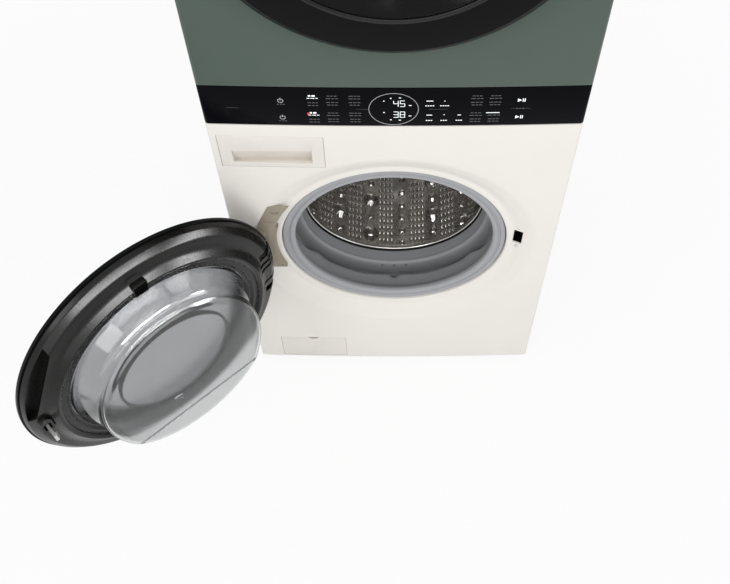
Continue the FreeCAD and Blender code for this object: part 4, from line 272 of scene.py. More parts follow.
# Grey rubber with painted shade behind its lip and in its fold.
grey_rubber = gasket_rubber("grey_rubber", srgb(166, 167, 171))
black_rubber = moulded("black_rubber", srgb(30, 30, 31), 0.6)
drum_steel = metal("drum_steel", (0.76, 0.74, 0.71), 0.13, (1, 0.3, 1), 90.0, 0.92)
plain_steel = metal("plain_steel", (0.66, 0.65, 0.64), 0.3)
cast_metal = metal("cast_metal", (0.42, 0.42, 0.42), 0.55)
taupe_metal = painted("taupe_metal", srgb(156, 147, 131), 0.35)
arm_metal = painted("arm_metal", srgb(60, 58, 54), 0.4)
tub_plastic = moulded("tub_plastic", srgb(196, 195, 190), 0.5)
grey_plastic = moulded("grey_plastic", srgb(120, 122, 124), 0.5)
dark_plastic = moulded("dark_plastic", srgb(48, 49, 51), 0.5, 0.3)
tray_plastic = moulded("tray_plastic", srgb(178, 187, 196), 0.4)
white_print = lit("white_print", (0.80, 0.83, 0.85), 0.7)
dim_print = lit("dim_print", (0.10, 0.10, 0.11), 0.12)
line_print = lit("line_print", (0.5, 0.5, 0.52), 0.5)
red_print = lit("red_print", (0.8, 0.05, 0.04), 0.6)

FINISHES = {
    ivory_paint: ["washer_front_panel"],
    ivory_plastic: ["drawer_front", "service_flap"],
    sage_paint: ["dryer_front_panel"],
    silver_paint: ["left_side_panel", "right_side_panel", "top_cover"],
    zinc_sheet: ["washer_back_cover", "dryer_back_cover", "mid_deck", "dryer_front_bulkhead",
                 "dryer_funnel", "exhaust_duct", "dryer_rear_bulkhead", "heater_duct"],
    panel_black: ["control_panel"],
    door_black: ["washer_door_cover", "dryer_door_cover"],
    ring_black: ["washer_door_frame", "dryer_door_frame"],
    black_plastic_and_slot_shade: ["washer_door_lock"],
    clear_glass: ["washer_door_bowl"],
    smoked_glass: ["washer_door_window"],
    dark_glass: ["dryer_door_window"],
    grey_rubber: ["door_gasket"],
    black_rubber: ["levelling_feet", "inner_hoses", "drum_belt", "left_drum_roller", "right_drum_roller"],
    drum_steel: ["washer_drum", "drum_lifters", "dryer_drum"],
    plain_steel: ["washer_door_hook", "tub_suspension", "tub_bearings", "motor_rotor", "motor_shaft"],
    cast_metal: ["counterweights", "drum_spider", "motor_stator"],
    taupe_metal: ["washer_hinge_plate", "dryer_hinge_plate"],
    arm_metal: ["washer_hinge_arm", "dryer_hinge_arm"],
    tub_plastic: ["outer_tub", "inlet_valves", "lint_filter"],
    grey_plastic: ["dispenser_housing", "drain_pipe"],
    dark_plastic: ["tub_front_cover", "base_pan", "control_board", "drain_pump", "pump_filter",
                   "power_inlet", "blower_housing", "dryer_motor", "blower_wheel"],
    tray_plastic: ["drawer_tray"],
}
for finish, names in FINISHES.items():
    for name in names:
        nodes[name].data.materials.clear()
        nodes[name].data.materials.append(finish)


# Shapes
ARC_STEP = math.radians(11)
LONGEST_EASE = 0.48
WELD = 0.001
NEAR = 0.01


def rounded(points, closed=True):
    """A profile with its corners rounded; a point's third number is its corner's radius."""
    made = []
    count = len(points)
    for k, point in enumerate(points):
        here = Vector(point[:2])
        inside = closed or 0 < k < count - 1
        if len(point) < 3 or not inside:
            made.append(here)
            continue
        back = Vector(points[k - 1][:2]) - here
        ahead = Vector(points[(k + 1) % count][:2]) - here
        half = back.angle(ahead) / 2
        longest = LONGEST_EASE * min(back.length, ahead.length)
        reach = min(point[2] / math.tan(half), longest)
        radius = reach * math.tan(half)
        back.normalize()
        ahead.normalize()
        middle = here + (back + ahead).normalized() * radius / math.sin(half)
        start = here + back * reach - middle
        sweep = start.angle_signed(here + ahead * reach - middle)
        steps = max(2, math.ceil(abs(sweep) / ARC_STEP))
        for step in range(steps + 1):
            made.append(middle + Matrix.Rotation(-sweep * step / steps, 2) @ start)
    return made


def dense(profile, step, closed=True):
    """A profile with points added on runs longer than a step."""
    made = []
    count = len(profile)
    for k in range(count if closed else count - 1):
        start, end = profile[k], profile[(k + 1) % count]
        parts = max(1, math.ceil((end - start).length / step))
        made += [start.lerp(end, j / parts) for j in range(parts)]
    return made if closed else made + [profile[-1]]


def lathe(profile, z, y0, count=240, closed=True, warp=None):
    """A profile of radius and depth turned about a level axis that runs to the back."""
    made = bmesh.new()
    rings = []
    for k in range(count):
        angle = 2 * math.pi * k / count
        ring = []
        for radius, depth in profile:
            if warp:
                radius, depth = warp(angle, radius, depth)
            across, up = radius * math.cos(angle), radius * math.sin(angle)
            ring.append(made.verts.new((across, y0 + depth, z + up)))
        rings.append(ring)
    runs = len(profile) if closed else len(profile) - 1
    for k in range(count):
        one, two = rings[k], rings[(k + 1) % count]
        for j in range(runs):
            nxt = (j + 1) % len(profile)
            made.faces.new((one[j], one[nxt], two[nxt], two[j]))
    bmesh.ops.remove_doubles(made, verts=made.verts, dist=WELD)
    bmesh.ops.recalc_face_normals(made, faces=made.faces)
    return made


def swept(corners, run):
    """A flat outline run along a vector into a solid."""
    made = bmesh.new()
    face = made.faces.new([made.verts.new(corner) for corner in corners])
    grown = bmesh.ops.extrude_face_region(made, geom=[face])["geom"]
    far_end = [item for item in grown if isinstance(item, bmesh.types.BMVert)]
    bmesh.ops.translate(made, verts=far_end, vec=run)
    bmesh.ops.recalc_face_normals(made, faces=made.faces)
    return made


def ease(shape, edges, radius, steps=3):
    """Rounds some edges of a shape."""
    bmesh.ops.bevel(shape, geom=edges, offset=radius, segments=steps, affect="EDGES", profile=0.5)


def slab(outline, y0, y1, edge=0.0, steps=2):
    """An outline in width and height, run from one depth to another, with its front edge rounded."""
    made = swept([(x, y0, z) for x, z in outline], (0, y1 - y0, 0))
    if edge:
        rim = [e for e in made.edges if all(abs(v.co.y - y0) < NEAR for v in e.verts)]
        ease(made, rim, edge, steps)
    return made


def oblong(x, z, width, height, radius):
    """Outline of a rectangle with round corners."""
    half_w, half_h = width / 2, height / 2
    corners = [(x + half_w, z + half_h, radius), (x - half_w, z + half_h, radius),
               (x - half_w, z - half_h, radius), (x + half_w, z - half_h, radius)]
    return rounded(corners)


def round_head(x, z, radius, count=24):
    """Outline of a circle."""
    turn = 2 * math.pi / count
    return [(x + radius * math.cos(k * turn), z + radius * math.sin(k * turn)) for k in range(count)]


def block(x, y, z):
    """A box between two places along each axis."""
    made = bmesh.new()
    bmesh.ops.create_cube(made, size=1.0)
    for v in made.verts:
        v.co = [span[0] + (c + 0.5) * (span[1] - span[0]) for c, span in zip(v.co, (x, y, z))]
    return made


def joined(*parts):
    """Several shapes as one."""
    made = bmesh.new()
    for part in parts:
        loose = bpy.data.meshes.new("loose")
        part.to_mesh(loose)
        made.from_mesh(loose)
        bpy.data.meshes.remove(loose)
    return made


def loose_object(part):
    """A shape as an object of its own, for a cut."""
    mesh = bpy.data.meshes.new("loose")
    part.to_mesh(mesh)
    made = bpy.data.objects.new("loose", mesh)
    bpy.context.scene.collection.objects.link(made)
    return made


def carved(solid, *tools):
    """The solid with the volume of each tool taken out of it."""
    target = loose_object(solid)
    cutters = [loose_object(tool) for tool in tools]
    for cutter in cutters:
        cut = target.modifiers.new("cut", "BOOLEAN")
        cut.operation = "DIFFERENCE"
        cut.solver = "EXACT"
        cut.object = cutter
    bpy.context.view_layer.update()
    graph = bpy.context.evaluated_depsgraph_get()
    mesh = bpy.data.meshes.new_from_object(target.evaluated_get(graph))
    made = bmesh.new()
    made.from_mesh(mesh)
    for thing in [target] + cutters:
        bpy.data.objects.remove(thing)
    return made


def piece(name, shape, finish, body, slot, stands_for=(), place=TO_FRAME, sharp=32.0):
    """A finished piece that rides on a body."""
    shape.transform(place)
    for face in shape.faces:
        face.smooth = True
    for edge in shape.edges:
        if edge.is_manifold:
            edge.smooth = edge.calc_face_angle(0.0) < math.radians(sharp)
    mesh = bpy.data.meshes.new(name)
    shape.to_mesh(mesh)
    shape.free()
    mesh.materials.append(finish)
    made = bpy.data.objects.new(name, mesh)
    bpy.context.scene.collection.objects.link(made)
    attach(made, body)
    if stands_for:
        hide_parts(*stands_for)
    return made


# Fronts
FRONT_HALF = 340.5
LIP_Y = -344.0
SHEET_T = 3.0
SIDE_ROUND = 6.0
RIM_ROUND = 1.6
WASHER_FOOT = 18.0
PANEL_SEAM = 1.5
TOP_SEAM = 1.2
DISH_SIDES = 360
DISH_EDGE_R = 305.5
DISH_FLAT_R = 258.0
DISH_BLEND = 44.0
DISH = [
    (DISH_EDGE_R, 0), (297, 0.3, 40), (276, 6, 40), (262, 11.5, 12), (256.5, 13.2, 4), (245, 12.6, 4),
    (241, 14, 3), (241, 44), (244, 44), (244, 17), (256, 17), (262, 15), (276, 9.5), (297, 3.8),
    (DISH_EDGE_R, 3.2)]
DRAWER_X = (-326.0, -130.4)
DRAWER_Z = (793.9, 880.6)
DRAWER_BACK = -340.0
DRAWER_SEAM = 0.6
FLAP_X = (-282.7, -121.3)
FLAP_Z = (26.0, 118.7)
FLAP_BACK = -354.0
FLAP_SEAM = 0.5
FLAP_SILL = 1.2
LOCK_X = 263.5
LOCK_Z = WASHER_Z + 24
THROUGH = (-400.0, -300.0)


def face_y(x):
    """Depth of the crowned front at a place across it."""
    return FRONT_Y - CROWN + CROWN_R - math.sqrt(CROWN_R ** 2 - x ** 2)


def front_plan(inset, back):
    """Plan of a front: a crowned face with rounded sides, ended at a depth."""
    half = FRONT_HALF - inset
    steps = 28
    across = [half * (2 * k / steps - 1) for k in range(1, steps)]
    face = [(x, face_y(x) + inset) for x in across]
    edge_y = face_y(half) + inset
    left = [(-half, back), (-half, edge_y, SIDE_ROUND)]
    right = [(half, edge_y, SIDE_ROUND), (half, back)]
    return rounded(left + face + right)


def upright(plan, z0, z1, edge=0.0):
    """A plan run up from one height to another, with its front rims rounded."""
    made = swept([(x, y, z0) for x, y in plan], (0, 0, z1 - z0))
    if edge:
        rims = [e for e in made.edges if abs(e.verts[0].co.z - e.verts[1].co.z) < NEAR
                and not all(v.co.y > LIP_Y - NEAR for v in e.verts)]
        ease(made, rims, edge)
    return made


def front_tray(z0, z1, *openings):
    """Pressed front with a folded lip all round."""
    hollow = upright(front_plan(SHEET_T, LIP_Y + 1), z0 + SHEET_T, z1 - SHEET_T)
    return carved(upright(front_plan(0.0, LIP_Y), z0, z1, RIM_ROUND), hollow, *openings)


def dish_warp(angle, radius, depth):
    """Lets the dish's outer edge follow the crown of the front."""
    share = min(max((radius - DISH_FLAT_R) / DISH_BLEND, 0.0), 1.0)
    return radius, depth + share * (face_y(radius * math.cos(angle)) - FRONT_Y)


def dished_front(z0, z1, axis_z, *openings):
    """The tray of a front, open round its mouth, and the dish that fills that opening."""
    reach = 40
    bore = rounded([(0, -reach), (DISH_EDGE_R, -reach), (DISH_EDGE_R, reach), (0, reach)], False)
    hole = lathe(bore, axis_z, FRONT_Y, DISH_SIDES, closed=False)
    dish = lathe(rounded(DISH), axis_z, FRONT_Y, DISH_SIDES, warp=dish_warp)
    return front_tray(z0, z1, hole, *openings), dish


def wider(span, seam):
    """A span with a seam added at both ends."""
    return span[0] - seam, span[1] + seam


drawer_opening = block(wider(DRAWER_X, DRAWER_SEAM), THROUGH, wider(DRAWER_Z, DRAWER_SEAM))
flap_opening = block(wider(FLAP_X, FLAP_SEAM), THROUGH, (FLAP_Z[0] - FLAP_SILL, FLAP_Z[1] + FLAP_SEAM))
lock_opening = slab(oblong(LOCK_X, LOCK_Z, 18.6, 45.6, 2), FRONT_Y, -320)
washer_tray, washer_dish = dished_front(WASHER_FOOT, WASHER_TOP, WASHER_Z, drawer_opening, flap_opening)
washer_front = joined(washer_tray, carved(washer_dish, lock_opening))
piece("washer_front", washer_front, ivory_paint, "cabinet", "washer_front_panel", ["washer_front_panel"])
dryer_front = joined(*dished_front(CONTROL_Z1 + PANEL_SEAM, TOP_Z - TOP_SEAM, DRYER_Z))
piece("dryer_front", dryer_front, sage_paint, "cabinet", "dryer_front_panel", ["dryer_front_panel"])
panel_face = front_tray(CONTROL_Z0, CONTROL_Z1)
piece("panel_face", panel_face, panel_black, "cabinet", "control_panel", ["control_panel"])


# Drawer face and service flap
SCOOP_X = (-303.0, -153.0)
SCOOP_MOUTH_Y = -361.0
SCOOP = rounded([
    (-372, 805), (-357.5, 805), (-357, 798, 2), (-348.5, 798, 4), (-348.5, 808, 10), (-361.5, 838, 40),
    (-366, 862)], False)
NOTCH_R = 17.0
NOTCH_RISE = 9.5


def crowned_lid(x0, x1, z0, z1, back, edge=1.0):
    """A lid whose front follows the crown, with rounded front edges."""
    steps = 8
    across = [x0 + (x1 - x0) * k / steps for k in range(steps + 1)]
    made = upright([(x, face_y(x)) for x in across] + [(x1, back), (x0, back)], z0, z1)
    rims = [e for e in made.edges if sum(v.co.y < back - NEAR for v in e.verts) == 2
            and len(e.link_faces) == 2 and e.calc_face_angle() > 1.0]
    ease(made, rims, edge)
    return made


def scoop_hollow():
    """Volume of the finger scoop."""
    return swept([(SCOOP_X[0], y, z) for y, z in SCOOP], (SCOOP_X[1] - SCOOP_X[0], 0, 0))


def scoop_liner():
    """Thin shell that lines the scoop behind its lip, closed at both ends."""
    made = scoop_hollow()
    bare = []
    for face in made.faces:
        looks_out = abs(face.normal.x) < 0.1 and face.normal.y < -0.9
        if looks_out or face.calc_center_median().y < SCOOP_MOUTH_Y:
            bare.append(face)
    bmesh.ops.delete(made, geom=bare, context="FACES")
    for v in made.verts:
        v.co.y = max(v.co.y, face_y(v.co.x) + 0.4)
    bmesh.ops.solidify(made, geom=made.faces[:], thickness=0.8)
    return made


drawer_face = carved(crowned_lid(*DRAWER_X, *DRAWER_Z, DRAWER_BACK), scoop_hollow())
piece("drawer_face", drawer_face, ivory_plastic, "drawer", "drawer_front", ["drawer_front"])
# The scoop's liner takes the darker copy of the plastic: painted shade in the scoop.
piece("drawer_scoop", scoop_liner(), scoop_plastic_painted_shade, "drawer", "drawer_front")
notch_line = round_head(sum(FLAP_X) / 2, FLAP_Z[1] + NOTCH_RISE, NOTCH_R, 40)
flap_face = carved(crowned_lid(*FLAP_X, *FLAP_Z, FLAP_BACK), slab(notch_line, THROUGH[0], -340))
piece("flap_face", flap_face, ivory_plastic, "service_flap", "service_flap", ["service_flap"])


# Hinge plate and lock of the washer door
PLATE_LEFT = -292.0
PLATE_BASE_Y = -358.0
PLATE_CHAMFER = 6.0
EAR_R = 6.0
EAR_HALF = 7.0
EAR_NECK_Y = -380.0
EAR_ROOT_Y = -346.0
EAR_ROOT = 10.0
PIN_R = 5.0
PIN_HALF = 66.0
SMALL_SCREW_R = 3.2
LOCK_SCREW_UP = 33.0


def plate_outline(inner, low, high, left, slant):
    """Outline of a plate: a slanted top corner, a straight side and an edge that follows the mouth."""
    points = []
    steps = 14
    for k in range(steps + 1):
        up = low + (high - low) * k / steps
        radius = inner[0] + (inner[1] - inner[0]) * k / steps
        points.append((-math.sqrt(radius ** 2 - up ** 2), WASHER_Z + up))
    points += [(left + slant[0], WASHER_Z + high), (left, WASHER_Z + high - slant[1]),
               (left, WASHER_Z + low + PLATE_CHAMFER), (left + PLATE_CHAMFER, WASHER_Z + low)]
    return points


def screw_head(x, z, y, radius=4.5, rise=2.0):
    """Domed screw head that faces the front."""
    profile = rounded([(0, -rise), (radius * 0.6, -rise, 1), (radius, -0.4, 1), (radius, 0.6)], False)
    dome = lathe(profile, z, y, 24, closed=False)
    bmesh.ops.translate(dome, verts=dome.verts, vec=(x, 0, 0))
    return dome


def hinge_ears():
    """Fixed ears of the hinge, round at the pin and flared at the root."""
    left, right = HINGE_X - EAR_R, HINGE_X + EAR_R
    bend = EAR_R - 0.1
    plan = rounded([
        (left, RIM_Y + EAR_R), (left, RIM_Y - EAR_R, bend), (right, RIM_Y - EAR_R, bend),
        (right, EAR_NECK_Y), (HINGE_X + EAR_ROOT, EAR_ROOT_Y), (HINGE_X - EAR_ROOT, EAR_ROOT_Y),
        (left, EAR_NECK_Y)])
    middles = [WASHER_Z + side * EAR_SPAN / 2 for side in (-1, 1)]
    return [upright(plan, middle - EAR_HALF, middle + EAR_HALF) for middle in middles]


base_line = plate_outline(inner=(250.5, 252), low=-82, high=70, left=PLATE_LEFT, slant=(6, 6))
head_line = plate_outline(inner=(259, 259), low=30, high=147, left=PLATE_LEFT, slant=(35, 84))
step_line = plate_outline(inner=(264, 264), low=-66, high=94, left=PLATE_LEFT - 2, slant=(20, 26))
oval = slab(oblong(-243, WASHER_Z + 127, 16, 10, 4.9), -364, FRONT_Y)
plates = [slab(base_line, PLATE_BASE_Y, -338, 1.2), carved(slab(head_line, -362, -358.5, 1.0), oval),
          slab(step_line, -364.6, -347, 1.2)]
pin = upright(round_head(HINGE_X, RIM_Y, PIN_R), WASHER_Z - PIN_HALF, WASHER_Z + PIN_HALF)
plate_screws = [screw_head(x, WASHER_Z - 74, PLATE_BASE_Y, SMALL_SCREW_R) for x in (-257, -246)]
hinge_plate = joined(*plates, *hinge_ears(), pin, *plate_screws)
piece("hinge_plate", hinge_plate, taupe_metal, "cabinet", "washer_hinge_plate", ["washer_hinge_plate"])
lock_trim = [screw_head(LOCK_X, LOCK_Z + side * LOCK_SCREW_UP, -351.5, SMALL_SCREW_R) for side in (-1, 1)]
for x in (257.6, 274.4):
    lock_trim.append(block(wider((x, x), 0.7), (-334, -322), (WASHER_Z + 4, WASHER_Z + 30)))
piece("lock_screws", joined(*lock_trim), plain_steel, "cabinet", "washer_door_lock")


# Doors
WALL = 3.0
FRAME_EDGE = DOOR_R - WALL - 0.7
FRAME_BACK = 44.0
BORE = 211.0
FLANGE_BACK = 28.0
RIB_R = 229.0
RIB_BACK = 23.0
RIDGE_R = 222.0
COVER_FRONT = -18.0
COVER_INSIDE = COVER_FRONT + WALL
ROLL = 13.0
EAR_ROOM = 8.5
PANE = 4.0
WASHER_WINDOW = (124.0, 64.0)
DRYER_WINDOW = (149.0, 41.0)
WINDOW_TRIM = [(218.5, -14.6), (218.5, -18.2, 1.5), (222, -19.4, 2), (227, -18.6, 2), (227, -16)]
WINDOW_BEAD = [(125, 67.5), (125, 75, 1.5), (128.5, 75, 1.5), (128.5, 66)]
FRAME_FACE = [
    (FRAME_EDGE, 5, 2), (FRAME_EDGE - 4, 13.5, 8), (FRAME_EDGE - 17, 25.5, 14), (FRAME_EDGE - 39, 28.5, 26),
    (FRAME_EDGE - 56, 43.4, 12), (BORE + 24, FRAME_BACK - 2, 4), (BORE + 21, 40, 2), (BORE + 19, 36, 1.2),
    (BORE + 9, 37, 1.5), (BORE + 4, 33, 2)]
GRIP = (8, 48)
GRIP_INSET = 5.0
GRIP_END_W = 9.0
GRIP_SWELL = 17.0
SENSOR_Z = WASHER_Z + 240
HOOK_X = 266.0
HOOK_Z = WASHER_Z + 17


def ear_cuts(z):
    """Slots through the rim for the fixed ears of the hinge."""
    cuts = []
    past_rim = HINGE_X - 44
    for side in (-1, 1):
        middle = z + side * EAR_SPAN / 2
        span = (middle - EAR_ROOM, middle + EAR_ROOM)
        cuts.append(block((past_rim, HINGE_X + 8), (RIM_Y - 14, RIM_Y + 88), span))
        cuts.append(block((past_rim, HINGE_X - 1), (RIM_Y - 36, RIM_Y), span))
    return cuts


def cover_ring(z):
    """Outer ring of a door, rolled over at its rim and ended in a ridge round the window."""
    inner_edge = DOOR_R - 3.5
    profile = rounded([
        (DOOR_R, 2), (DOOR_R, -5, 4), (DOOR_R - ROLL, COVER_INSIDE, 9), (RIDGE_R, COVER_FRONT, 3),
        (RIDGE_R, COVER_INSIDE), (RIB_R, COVER_INSIDE), (RIB_R, RIB_BACK), (RIB_R + WALL, RIB_BACK),
        (RIB_R + WALL, COVER_INSIDE), (DOOR_R - ROLL, COVER_INSIDE + WALL), (inner_edge, -WALL),
        (inner_edge, 2)])
    return carved(lathe(profile, z, RIM_Y), *ear_cuts(z))


def window_dish(z, radius, back):
    """Tinted window: a flange, a cone and a flat bottom."""
    flange_r = RIB_R - 0.3
    profile = rounded([
        (0, back), (radius, back, 8), (RIDGE_R - 3, COVER_INSIDE, 4), (flange_r, COVER_INSIDE),
        (flange_r, COVER_INSIDE + PANE), (RIDGE_R - 0.8, COVER_INSIDE + PANE, 4),
        (radius + 2.2, back + PANE, 8), (0, back + PANE)], False)
    return lathe(dense(profile, 12.0, False), z, RIM_Y, closed=False)


def frame_ring(z):
    """Inner ring of a door: a rolled rim, a cove and a bulge round the glass."""
    profile = rounded([(FRAME_EDGE, -2)] + FRAME_FACE + [
        (BORE, FLANGE_BACK + 5), (BORE, FLANGE_BACK), (BORE + 7, FLANGE_BACK), (BORE + 18.5, 33),
        (FRAME_EDGE - 58, 39), (FRAME_EDGE - 42, 26), (FRAME_EDGE - 20, 22.2), (FRAME_EDGE - 8.5, 12),
        (FRAME_EDGE - WALL, 3.2), (FRAME_EDGE - WALL, -2)])
    return lathe(profile, z, RIM_Y)


def face_depth(radius):
    """Depth of the inner ring's face at a radius."""
    line = rounded(FRAME_FACE, False)
    for start, end in zip(line, line[1:]):
        if end.x <= radius <= start.x:
            share = (start.x - radius) / max(start.x - end.x, 1e-6)
            return start.y + share * (end.y - start.y)
    return FRAME_BACK


def grip_outline(z, first, last, grow=0.0):
    """Kidney-shaped outline of the finger pocket on the rim."""
    steps = 20
    out = FRAME_EDGE - GRIP_INSET + grow
    points = []
    for k in range(steps + 1):
        angle = math.radians(first + (last - first) * k / steps)
        points.append((out * math.cos(angle), z + out * math.sin(angle)))
    for k in range(1, steps):
        share = k / steps
        angle = math.radians(last + (first - last) * share)
        swell = GRIP_SWELL * math.sin(math.pi * share) ** 0.7
        inner = out - GRIP_END_W - swell - 2 * grow
        points.append((inner * math.cos(angle), z + inner * math.sin(angle)))
    return points


def grip_cup(z, first, last):
    """Walls and floor of the finger pocket."""
    made = bmesh.new()
    outline = grip_outline(z, first, last, 0.3)
    floor_y = RIM_Y + 4
    draft = 0.995
    top, low = [], []
    for x, up in outline:
        radius = math.hypot(x, up - z)
        top.append(made.verts.new((x, RIM_Y + face_depth(radius) - 0.4, up)))
        low.append(made.verts.new((x * draft, floor_y, z + (up - z) * draft)))
    for k in range(len(outline)):
        nxt = (k + 1) % len(outline)
        made.faces.new((top[k], top[nxt], low[nxt], low[k]))
    made.faces.new(low)
    return made


def rim_slot(inner_x, front, middle, half):
    """A level slot in the rim on the hinge's side."""
    return block((-340, inner_x), (RIM_Y + front, RIM_Y + 60), (middle - half, middle + half))


def washer_door_ring():
    """Inner ring of the washer door with its finger pocket, its recesses and its hinge's slots."""
    z = WASHER_Z
    past = RIM_Y + FRAME_BACK + 5
    grip = slab(grip_outline(z, *GRIP), RIM_Y - 1, RIM_Y + 60)
    sensor = slab(oblong(0, SENSOR_Z, 28, 27, 3), RIM_Y + FRAME_BACK - 13, past)
    hook = slab(oblong(HOOK_X, HOOK_Z, 16, 22, 2), RIM_Y + 14, past)
    slots = [rim_slot(-250, 10, z + up, 4) for up in (-30, 16, 34)]
    slots += [rim_slot(-254, -14, z + side * EAR_SPAN / 2, 9) for side in (-1, 1)]
    ring = carved(frame_ring(z), grip, sensor, hook, *ear_cuts(z), *slots)
    return joined(ring, grip_cup(z, *GRIP))


def ring_trims():
    """Bezels that stand up round the sensor recess and the hook."""
    z = WASHER_Z
    face = RIM_Y + FRAME_BACK
    recess = carved(slab(oblong(0, SENSOR_Z, 31, 30, 4.5), face - 14, face + 0.4),
                    slab(oblong(0, SENSOR_Z, 27, 26, 3), face - 11, face + 5))
    bezel = rounded([
        (254, z + 1, 3), (280, z - 2, 4), (277, z + 36, 4), (262, z + 46, 3), (254, z + 34, 3)])
    hook_hole = slab(oblong(HOOK_X, HOOK_Z, 15, 21, 2), face - 40, face + 5)
    return joined(recess, carved(slab(bezel, face - 26, face - 9), hook_hole))


def bowl_shape():
    """Clear bowl: a flared root, a waist, a raked end and a chin that slants away below its crease."""
    wall = 5.0
    root, waist, end = 208.0, 184.0, 128.0
    waist_back, rake_start = 88.0, 70.0
    crease = WASHER_Z - 100.0
    profile = rounded([
        (0, end), (waist, end, 16), (waist, waist_back, 60), (root, FLANGE_BACK + 5, 8),
        (root, FLANGE_BACK - 0.3, 2), (RIB_R + WALL, FLANGE_BACK - 0.3), (RIB_R + WALL, RIB_BACK),
        (root - wall, RIB_BACK), (root - wall, FLANGE_BACK + 5, 8), (waist - wall, waist_back, 60),
        (waist - wall, end - wall, 11), (0, end - wall)], False)
    made = lathe(dense(profile, 8.0, False), WASHER_Z, RIM_Y, closed=False)
    everything = made.verts[:] + made.edges[:] + made.faces[:]
    bmesh.ops.bisect_plane(made, geom=everything, plane_co=(0, 0, crease), plane_no=(0, 0, 1), dist=NEAR)
    rake, chin = math.tan(math.radians(7)), math.tan(math.radians(3))
    for v in made.verts:
        up = v.co.z - crease
        share = min(max((v.co.y - RIM_Y - rake_start) / (end - wall - rake_start), 0.0), 1.0)
        v.co.y -= (rake * max(up, 0) + chin * max(-up, 0)) * share
    return made


def washer_door_piece(name, shape, finish, node, stands_for=(), sharp=32.0):
    """A piece drawn on the shut washer door, swung open with it."""
    piece(name, shape, finish, "washer_door", node, stands_for, SWUNG, sharp)


washer_door_piece("door_ring_outer", cover_ring(WASHER_Z), door_black, "washer_door_cover",
                  ["washer_door_cover"])
washer_door_piece("door_ring_inner", washer_door_ring(), ring_black, "washer_door_frame",
                  ["washer_door_frame"])
washer_door_piece("door_ring_trims", ring_trims(), ring_black, "washer_door_frame")
washer_door_piece("door_window", window_dish(WASHER_Z, *WASHER_WINDOW), smoked_glass, "washer_door_window",
                  ["washer_door_window"])
bead = lathe(rounded(WINDOW_BEAD), WASHER_Z, RIM_Y)
washer_door_piece("window_bead", bead, door_black, "washer_door_cover")
crease_rib = block((-145, 145), (RIM_Y + 121.4, RIM_Y + 123.2), (WASHER_Z - 101.4, WASHER_Z - 98.6))
nub = slab(oblong(36, WASHER_Z - 48, 18, 9, 3), RIM_Y + 112.5, RIM_Y + 117.5, 1.0)
washer_door_piece("bowl_crease", joined(crease_rib, nub), smoked_glass, "washer_door_bowl")
washer_door_piece("door_bowl", bowl_shape(), clear_glass, "washer_door_bowl", ["washer_door_bowl"], 14.0)
for name, z, place in (("washer_door", WASHER_Z, SWUNG), ("dryer_door", DRYER_Z, TO_FRAME)):
    trim = lathe(rounded(WINDOW_TRIM), z, RIM_Y)
    piece(name + "_window_trim", trim, ring_black, name, name + "_cover", (), place)
piece("dryer_ring_outer", cover_ring(DRYER_Z), door_black, "dryer_door", "dryer_door_cover",
      ["dryer_door_cover"])
piece("dryer_window", window_dish(DRYER_Z, *DRYER_WINDOW), dark_glass, "dryer_door",
      "dryer_door_window", ["dryer_door_window"])


# Gasket
GASKET = [
    (239.3, 20, 1.5), (239.3, 27), (240.4, 30), (240.4, 56), (252, 70, 5), (255, 92, 5), (240, 102, 3),
    (212.5, 102), (212.5, 117), (207, 117), (207, 96.7), (202.4, 96.7), (202.4, 123, 1), (199.5, 123, 1),
    (203, 97, 5), (208, 92.5, 2), (232, 91, 4), (250.5, 90, 4), (251, 79, 4), (238, 76, 3),
    (231, 75.5, 1.5), (231.5, 70, 2), (236.5, 42, 7), (226, 34, 6), (214, 34, 4), (212, 27, 3),
    (213, 21.5, 2), (217, 18.5, 2), (223, 18.5, 0.6), (224.5, 21, 0.6), (228.5, 21, 0.6), (230, 18, 1),
    (237.5, 18, 1.5)]
BOTTOM = 270.0
LOW_HALF = 70.0
LOW_FADE = 22.0
FOLD_R = (237.0, 253.0)
FOLD_DEPTH = (58.0, 91.5)
FOLD_CLOSE = 13.0
EDGE_R = 240.0
EDGE_DEPTH = (66.0, 78.0)
EDGE_SHIFT = 5.0
WAVE = 2.0
WAVES = 9
NOTCH_DROP = 7.0
NOTCH_SPREAD = 2.4
LOBE_DROP = 6.0
LOBE_TURN = 52.0
LOBE_SPREAD = 7.0
DRAIN_RING_R = 216.0
DRAIN_BORE_R = 3.4
DRAIN_STEP = 7.5


def low_share(angle):
    """How near an angle is to the bottom of the mouth, from 0 to 1."""
    turn = abs((math.degrees(angle) - BOTTOM + 180) % 360 - 180)
    share = min(max((LOW_HALF - turn) / LOW_FADE, 0.0), 1.0)
    return share * share * (3 - 2 * share)


def gasket_warp(angle, radius, depth):
    """Closes the fold away from the bottom and gives its front edge a wave, a notch and two lobes."""
    low = low_share(angle)
    turn = math.degrees(angle) - BOTTOM
    if FOLD_R[0] < radius < FOLD_R[1] and FOLD_DEPTH[0] < depth < FOLD_DEPTH[1]:
        radius -= FOLD_CLOSE * (1 - low) * min((radius - FOLD_R[0]) / 6, 1.0)
    if radius < EDGE_R and EDGE_DEPTH[0] < depth < EDGE_DEPTH[1]:
        wave = WAVE * math.cos(math.radians(turn * WAVES))
        notch = math.exp(-(turn / NOTCH_SPREAD) ** 2)
        lobes = math.exp(-((abs(turn) - LOBE_TURN) / LOBE_SPREAD) ** 2)
        depth += low * (wave - NOTCH_DROP * notch + LOBE_DROP * lobes)
        radius += low * (EDGE_SHIFT * notch - EDGE_SHIFT * lobes)
    return radius, depth


